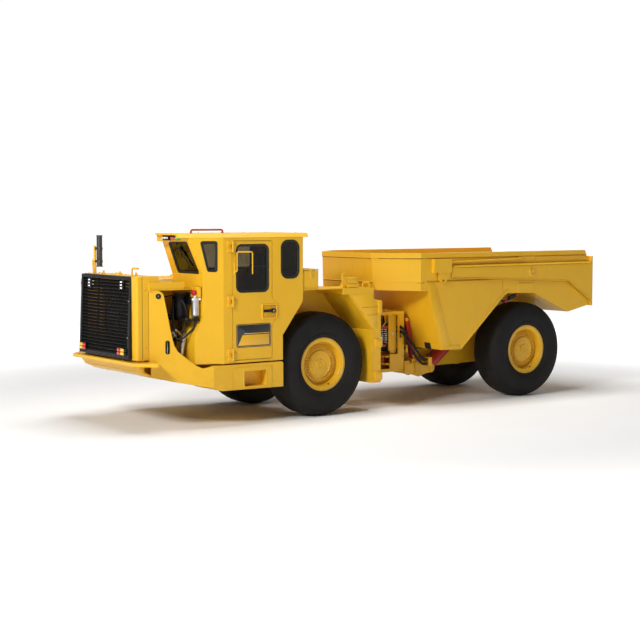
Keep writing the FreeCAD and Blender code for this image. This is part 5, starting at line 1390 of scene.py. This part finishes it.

# ------------------------------------------------------------------ rear frame: pin caps, screws and bolts, keepers and plates
M = Mb()
for sg in (1, -1):
    M.lathe(P(-2200, 500 * sg, 450), (0, sg, 0), [(30, 0), (46, 1), (46, 9), (40, 12), (0, 12)], 32, 0)
    for t in (0.6, 2.7, 4.8):
        M.bolt(P(-2200 + 33 * math.cos(t), 511 * sg, 450 + 33 * math.sin(t)), (0, sg, 0), 5.5, 1, False)
    for x in (-2500, -2900, -3300, -3900, -4100):
        M.bolt(P(x, 240 * sg, 700 if x > -3700 else 800), (0, sg, 0), 9, 1)
# prop's keepers, the low cross box with its end plates, and the clip over the hoist's pin
M.cyl(P(-1752, 498, 1150), YA, 26, 16, 0)
M.bolt(P(-1752, 514, 1150), YA, 9, 1, False)
M.cyl(P(-1878, 498, 640), YA, 24, 14, 0)
M.box(-1760, -1730, 500, 520, 700, 800, 3, 0)
for sg in (1, -1):
    M.box(-1890, -1715, 500 * sg, 513 * sg, 418, 545, 5, 0)
    for x0 in (-1715, -1905, -2178):
        M.box(x0, x0 + 13, 500 * sg, 528 * sg, 405, 476 if x0 < -2000 else 556, 3, 0)
# pad for the prop's foot: screws and tag plate
M.box(-1962, -1888, 500, 506, 552, 590, 2, 0)
M.bolt(P(-1925, 506, 571), YA, 7, 1)
M.make("rear_frame_fittings", [M_YEL, M_STL], "rear_unit", "painted_yellow")

M_GAP = finish("joint_shadow", (0.11, 0.062, 0.004, 1), 0.7, var=0.1, bump=0.1, bscale=200, spec=0.1).mat


def seam(M, pts, w=5.0, mat=0, sg=1, y=1034.0, proud=0.7):
    """Painted shadow line of a plate joint on a side face; pts are (x, z) in mm."""
    for (x0, z0), (x1, z1) in zip(pts, pts[1:]):
        L = math.hypot(x1 - x0, z1 - z0)
        M.obox(P((x0 + x1) / 2, sg * (y + proud / 2 - 1), (z0 + z1) / 2), Vector((x1 - x0, 0, z1 - z0)), YA, L + w * 0.6, proud + 2, w, 0.3, mat, 1)


M = Mb()
for sg in (1, -1):
    seam(M, [(-645, 1286), (-820, 1286)], 4, 0, sg, 1041)
    seam(M, [(-560, 1390), (-820, 1390)], 4, 0, sg, 1041)
    seam(M, [(1428, 462), (1428, 715)], 4, 0, sg, 1034)
M.make("fender_joints", [M_GAP], "front_unit", "black_paint")
M = Mb()
for sg in (1, -1):
    seam(M, [(-1668, 1690), (-4755, 1690)], 4, 0, sg, 1034)
    seam(M, [(-3052, 1500), (-3052, 1690)], 4, 0, sg, 1034)
    seam(M, [(-3330, 1960), (-3330, 2008)], 4, 0, sg, 1034)
    seam(M, [(-1640, 2006), (-4690, 2006)], 4, 0, sg, 1034)
LJ = [(-1619, -1034), (-1559, -1034), (-1101, -553), (-1101, 553), (-1559, 1034), (-1619, 1034)]
for z, off in ((1680, 0), (2006, 18)):
    M.sweep([P(x + off, y, z) for x, y in LJ], UP, [(-3, -3.2), (1.2, -3.2), (1.2, 3.2), (-3, 3.2)], 0, False)
M.make("body_joints", [M_GAP], "dump_body", "black_paint")

# ------------------------------------------------------------------ dump body: doublers, seams, ribs, hose run
def strip(M, pts, y, sg, t, mat=0, bev=1.2, r=0):
    """Flat plate on the body's side; pts are (x, z) in mm."""
    g = loop2(pts, r, 4) if r else loop2(pts, 0.01, 1)
    if sg > 0:
        M.slab(P(0, y, 0), (-1, 0, 0), UP, [(-a, b) for a, b in g], t, bev, mat)
    else:
        M.slab(P(0, -y, 0), XA, UP, g, t, bev, mat)


M = Mb()
for sg in (1, -1):
    # wide doubler along the front slant and the narrow one along the pit's foot
    strip(M, [(-1663, 1676), (-1806, 1672), (-2074, 820), (-1930, 772)], 1034, sg, 5, 0)
    strip(M, [(-1938, 770), (-2074, 818), (-2268, 812), (-2290, 756), (-2278, 752)], 1034, sg, 5, 0)
    strip(M, [(-2268, 812), (-3078, 1530), (-3140, 1556), (-3142, 1500), (-3082, 1464), (-2292, 756)], 1034, sg, 5, 0)
    # seam where the top and lower plates meet, with its bead
    M.weld((-1660, 1035 * sg, 1688), (-4760, 1035 * sg, 1688), 2.2, 0, 12)
    M.weld((-1806, 1040 * sg, 1672), (-2074, 1040 * sg, 820), 2.4, 0)
    M.weld((-1640, 1043 * sg, 2010), (-4700, 1043 * sg, 2010), 2.0, 0, 12)
    for x in (-2600, -3700, -4300):
        M.weld((x, 1035 * sg, 1700), (x, 1035 * sg, 2008), 1.6, 0)
    M.obox(P(-3150, 1041 * sg, 2014), XA, Vector((0, -0.69 * sg, 0.72)), 3060, 12, 6, 2, 0, 2)
    M.obox(P(-3200, 1037 * sg, 1697), XA, Vector((0, -0.69 * sg, 0.72)), 3080, 14, 6, 2, 0, 2)
    # pin's boss ring and its keeper on the pivot
    M.lathe(P(-3580, 1091 * sg, 1790), (0, sg, 0), [(0, 0), (35, 0), (33, 2.5), (0, 2.5)], 40, 0)
    M.bolt(P(-3580, 1093 * sg, 1790), (0, sg, 0), 9, 1)
    # top rail's short welds and the flange line under the rail
    for x in range(-1700, -4700, -430):
        M.weld((x, 1043 * sg, 2014), (x, 1043 * sg, 2076), 1.8, 0)
# corner beads down the front chamfer
for sg in (1, -1):
    M.weld((-1083, 545 * sg, 2070), (-1108, 545 * sg, 1705), 3, 0)
for y in (-420, -140, 140, 420):
    M.weld((-1080, y, 2070), (-1098, y, 1720), 2.2, 0)
# ledge line round the front between the upper and lower plates, and the lower plate's foot
LE = [(-1559 - 60, 1034), (-1559, 1034), (-1101, 553), (-1101, -553), (-1559, -1034), (-1619, -1034)][::-1]
M.sweep([P(x, y, 1690) for x, y in LE], UP, [(-3, -9), (8, -7), (12, -3), (12, 3), (8, 6), (-3, 8)], 0, False)
M.sweep([P(x - 22, y, 1590) for x, y in LE], UP, [(-3, -6), (5, -5), (7, -2), (7, 2), (5, 5), (-3, 6)], 0, False)
# spill lip's upper bead
M.weld((-1090, -540, 2080), (-1090, 540, 2080), 3, 0)
# worn floor inside: runner strips along the slope
for y in (-700, -350, 0, 350, 700):
    M.obox(P(-2690, y, 1128), Vector((-796, 0, 711)), YA, 960, 60, 6, 2, 2)
# hose with red ends slung under the body above the rear wheel
M.tube([(-3424, 930, 1500), (-3408, 950, 1462), (-3256, 952, 1402), (-3165, 950, 1368), (-3112, 925, 1392), (-3104, 900, 1500)], 15, 40, 14, 3)
for q, e in (((-3409, 950, 1464), (-3256, 952, 1402)), ((-3200, 951, 1381), (-3150, 950, 1364))):
    M.lathe(P(*q), Vector(e) - Vector(q), [(15, -4), (23, 0), (23, 34), (16, 40)], 12, 4)
M.obox(P(-3300, 952, 1432), Vector((-152, 0, 62)), YA, 110, 34, 40, 5, 3)
# hand hole low in the front slope: a black plate paints the shade of its inside, with the rolled lip round it
HN, HU = Vector((0.961, 0, -0.277)), Vector((0.277, 0, 0.961))
for sg in (1, -1):
    M.obox(P(-1908, 770 * sg, 800), YA, HU, 118, 86, 5, 14, 3)
    M.tube([(-1936, 712 * sg, 742), (-1911, 706 * sg, 820), (-1900, 742 * sg, 850), (-1900, 800 * sg, 852), (-1910, 834 * sg, 826)], 7, 22, 10, 0)
M.make("body_seams", [M_YEL, M_STL, M_YEL_DULL_AND_SHADE, M_HOSE, M_RED], "dump_body", "painted_yellow")

M = Mb()
for sg in (1, -1):
    y = 1075
    # flanges along both edges of the arm
    for (x0, z0), (x1, z1), w, out in (((-2100, 1893), (-4770, 1903), 30, 12), ((-2083, 1745), (-4308, 1643), 24, 9), ((-4308, 1643), (-4738, 1359), 22, 8)):
        u = Vector((x1 - x0, 0, z1 - z0))
        L = u.length
        u.normalize()
        n = Vector((-u.z, 0, u.x)) * (-1 if u.x < 0 else 1)
        M.obox(P((x0 + x1) / 2, (y + out - 6) * sg, (z0 + z1) / 2), u, n * 0.72 + Vector((0, -0.69 * sg, 0)), L, w, 9, 2, 0, 2)
        # its shadow line below
        c = P((x0 + x1) / 2, (y + 0.4) * sg, (z0 + z1) / 2) - n * (w * 0.36 + 5) / 1000
        M.obox(c, u, YA, L - 20, 2.5, 5, 0.3, 2, 1)
    M.lathe(P(-3580, y * sg, 1790), (0, sg, 0), [(39, 0), (41, 9), (45, 11), (56, 11), (61, 8), (63, 0)], 44, 0)
    M.bolt(P(-3580 + 50, (y + 4) * sg, 1818), (0, sg, 0), 6, 1, False)
    M.weld((-4300, (y + 1) * sg, 1640), (-4735, (y + 1) * sg, 1352), 3, 0)
for y in (-900, -540, -180, 180, 540, 900):
    M.box(-4826, -4806, y - 32, y + 32, 1290, 1970, 5, 0)
    M.weld((-4810, y - 34, 1300), (-4810, y - 34, 1960), 2.5, 0)
    M.weld((-4810, y + 34, 1300), (-4810, y + 34, 1960), 2.5, 0)
M.box(-4824, -4806, -1060, 1060, 1940, 1985, 5, 0)
M.box(-4824, -4806, -1060, 1060, 1268, 1310, 5, 0)
M.make("tailgate_ribs", [M_YEL, M_STL, M_GAP], "tailgate", "painted_yellow")

# ------------------------------------------------------------------ light, floor, air
lo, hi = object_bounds()
w = bpy.data.worlds.new("studio")
bpy.context.scene.world = w
w.use_nodes = True
wt = w.node_tree
bg = wt.nodes["Background"]
wtc = wt.nodes.new("ShaderNodeTexCoord")
wsp = wt.nodes.new("ShaderNodeSeparateXYZ")
wt.links.new(wtc.outputs["Generated"], wsp.inputs[0])
wab = wt.nodes.new("ShaderNodeMath")
wab.operation = "ABSOLUTE"
wt.links.new(wsp.outputs["Z"], wab.inputs[0])
wmr = wt.nodes.new("ShaderNodeMapRange")
wmr.interpolation_type = "SMOOTHSTEP"
for k_, v_ in (("From Min", 0.155), ("From Max", 0.26), ("To Min", 1.03), ("To Max", 0.16)):
    wmr.inputs[k_].default_value = v_
wt.links.new(wab.outputs[0], wmr.inputs["Value"])
wdt = wt.nodes.new("ShaderNodeVectorMath")
wdt.operation = "DOT_PRODUCT"
wt.links.new(wtc.outputs["Generated"], wdt.inputs[0])
wdt.inputs[1].default_value = (-0.5863, -0.8101, 0.0)
wfr = wt.nodes.new("ShaderNodeMapRange")
wfr.interpolation_type = "SMOOTHSTEP"
for k_, v_ in (("From Min", 0.35), ("From Max", 0.80), ("To Min", 0.30), ("To Max", 1.0)):
    wfr.inputs[k_].default_value = v_
wt.links.new(wdt.outputs["Value"], wfr.inputs["Value"])
wml = wt.nodes.new("ShaderNodeMath")
wml.operation = "MULTIPLY"
wt.links.new(wmr.outputs[0], wml.inputs[0])
wt.links.new(wfr.outputs[0], wml.inputs[1])
wt.links.new(wml.outputs[0], bg.inputs["Strength"])
bg.inputs["Color"].default_value = (1.0, 1.0, 1.0, 1)


def area(name, loc, target, size, size_y, power, col=(1, 1, 1)):
    d = bpy.data.lights.new(name, "AREA")
    d.shape, d.size, d.size_y = "RECTANGLE", size, size_y
    d.energy, d.color = power, col
    o = bpy.data.objects.new(name, d)
    bpy.context.scene.collection.objects.link(o)
    o.location = loc
    o.rotation_mode = "QUATERNION"
    o.rotation_quaternion = (Vector(target) - Vector(loc)).to_track_quat("-Z", "Y")
    return o


area("front_key", (13.3, 5.7, 8.5), (0.6, 0, 1.1), 3.4, 2.8, 1480, (1.0, 0.985, 0.95))
area("side_fill", (7.0, 15.0, 7.5), (-0.5, 0, 1.2), 9, 4, 30, (1.0, 0.99, 0.97))
area("top_soft", (0.0, 0.0, 12.0), (0, 0, 0), 8, 5, 1080)
area("back_rim", (-12.0, -6.0, 6.0), (0, 0, 1.4), 8, 5, 300)

me = bpy.data.meshes.new("studio_floor")
R = 15.0
zf = lo.z - 0.0005
ring = [(R * math.cos(2 * math.pi * i / 96), R * math.sin(2 * math.pi * i / 96), zf) for i in range(96)]
me.from_pydata(ring, [], [tuple(range(96))])
me.materials.append(floor_mat())
fl = bpy.data.objects.new("studio_floor", me)
bpy.context.scene.collection.objects.link(fl)
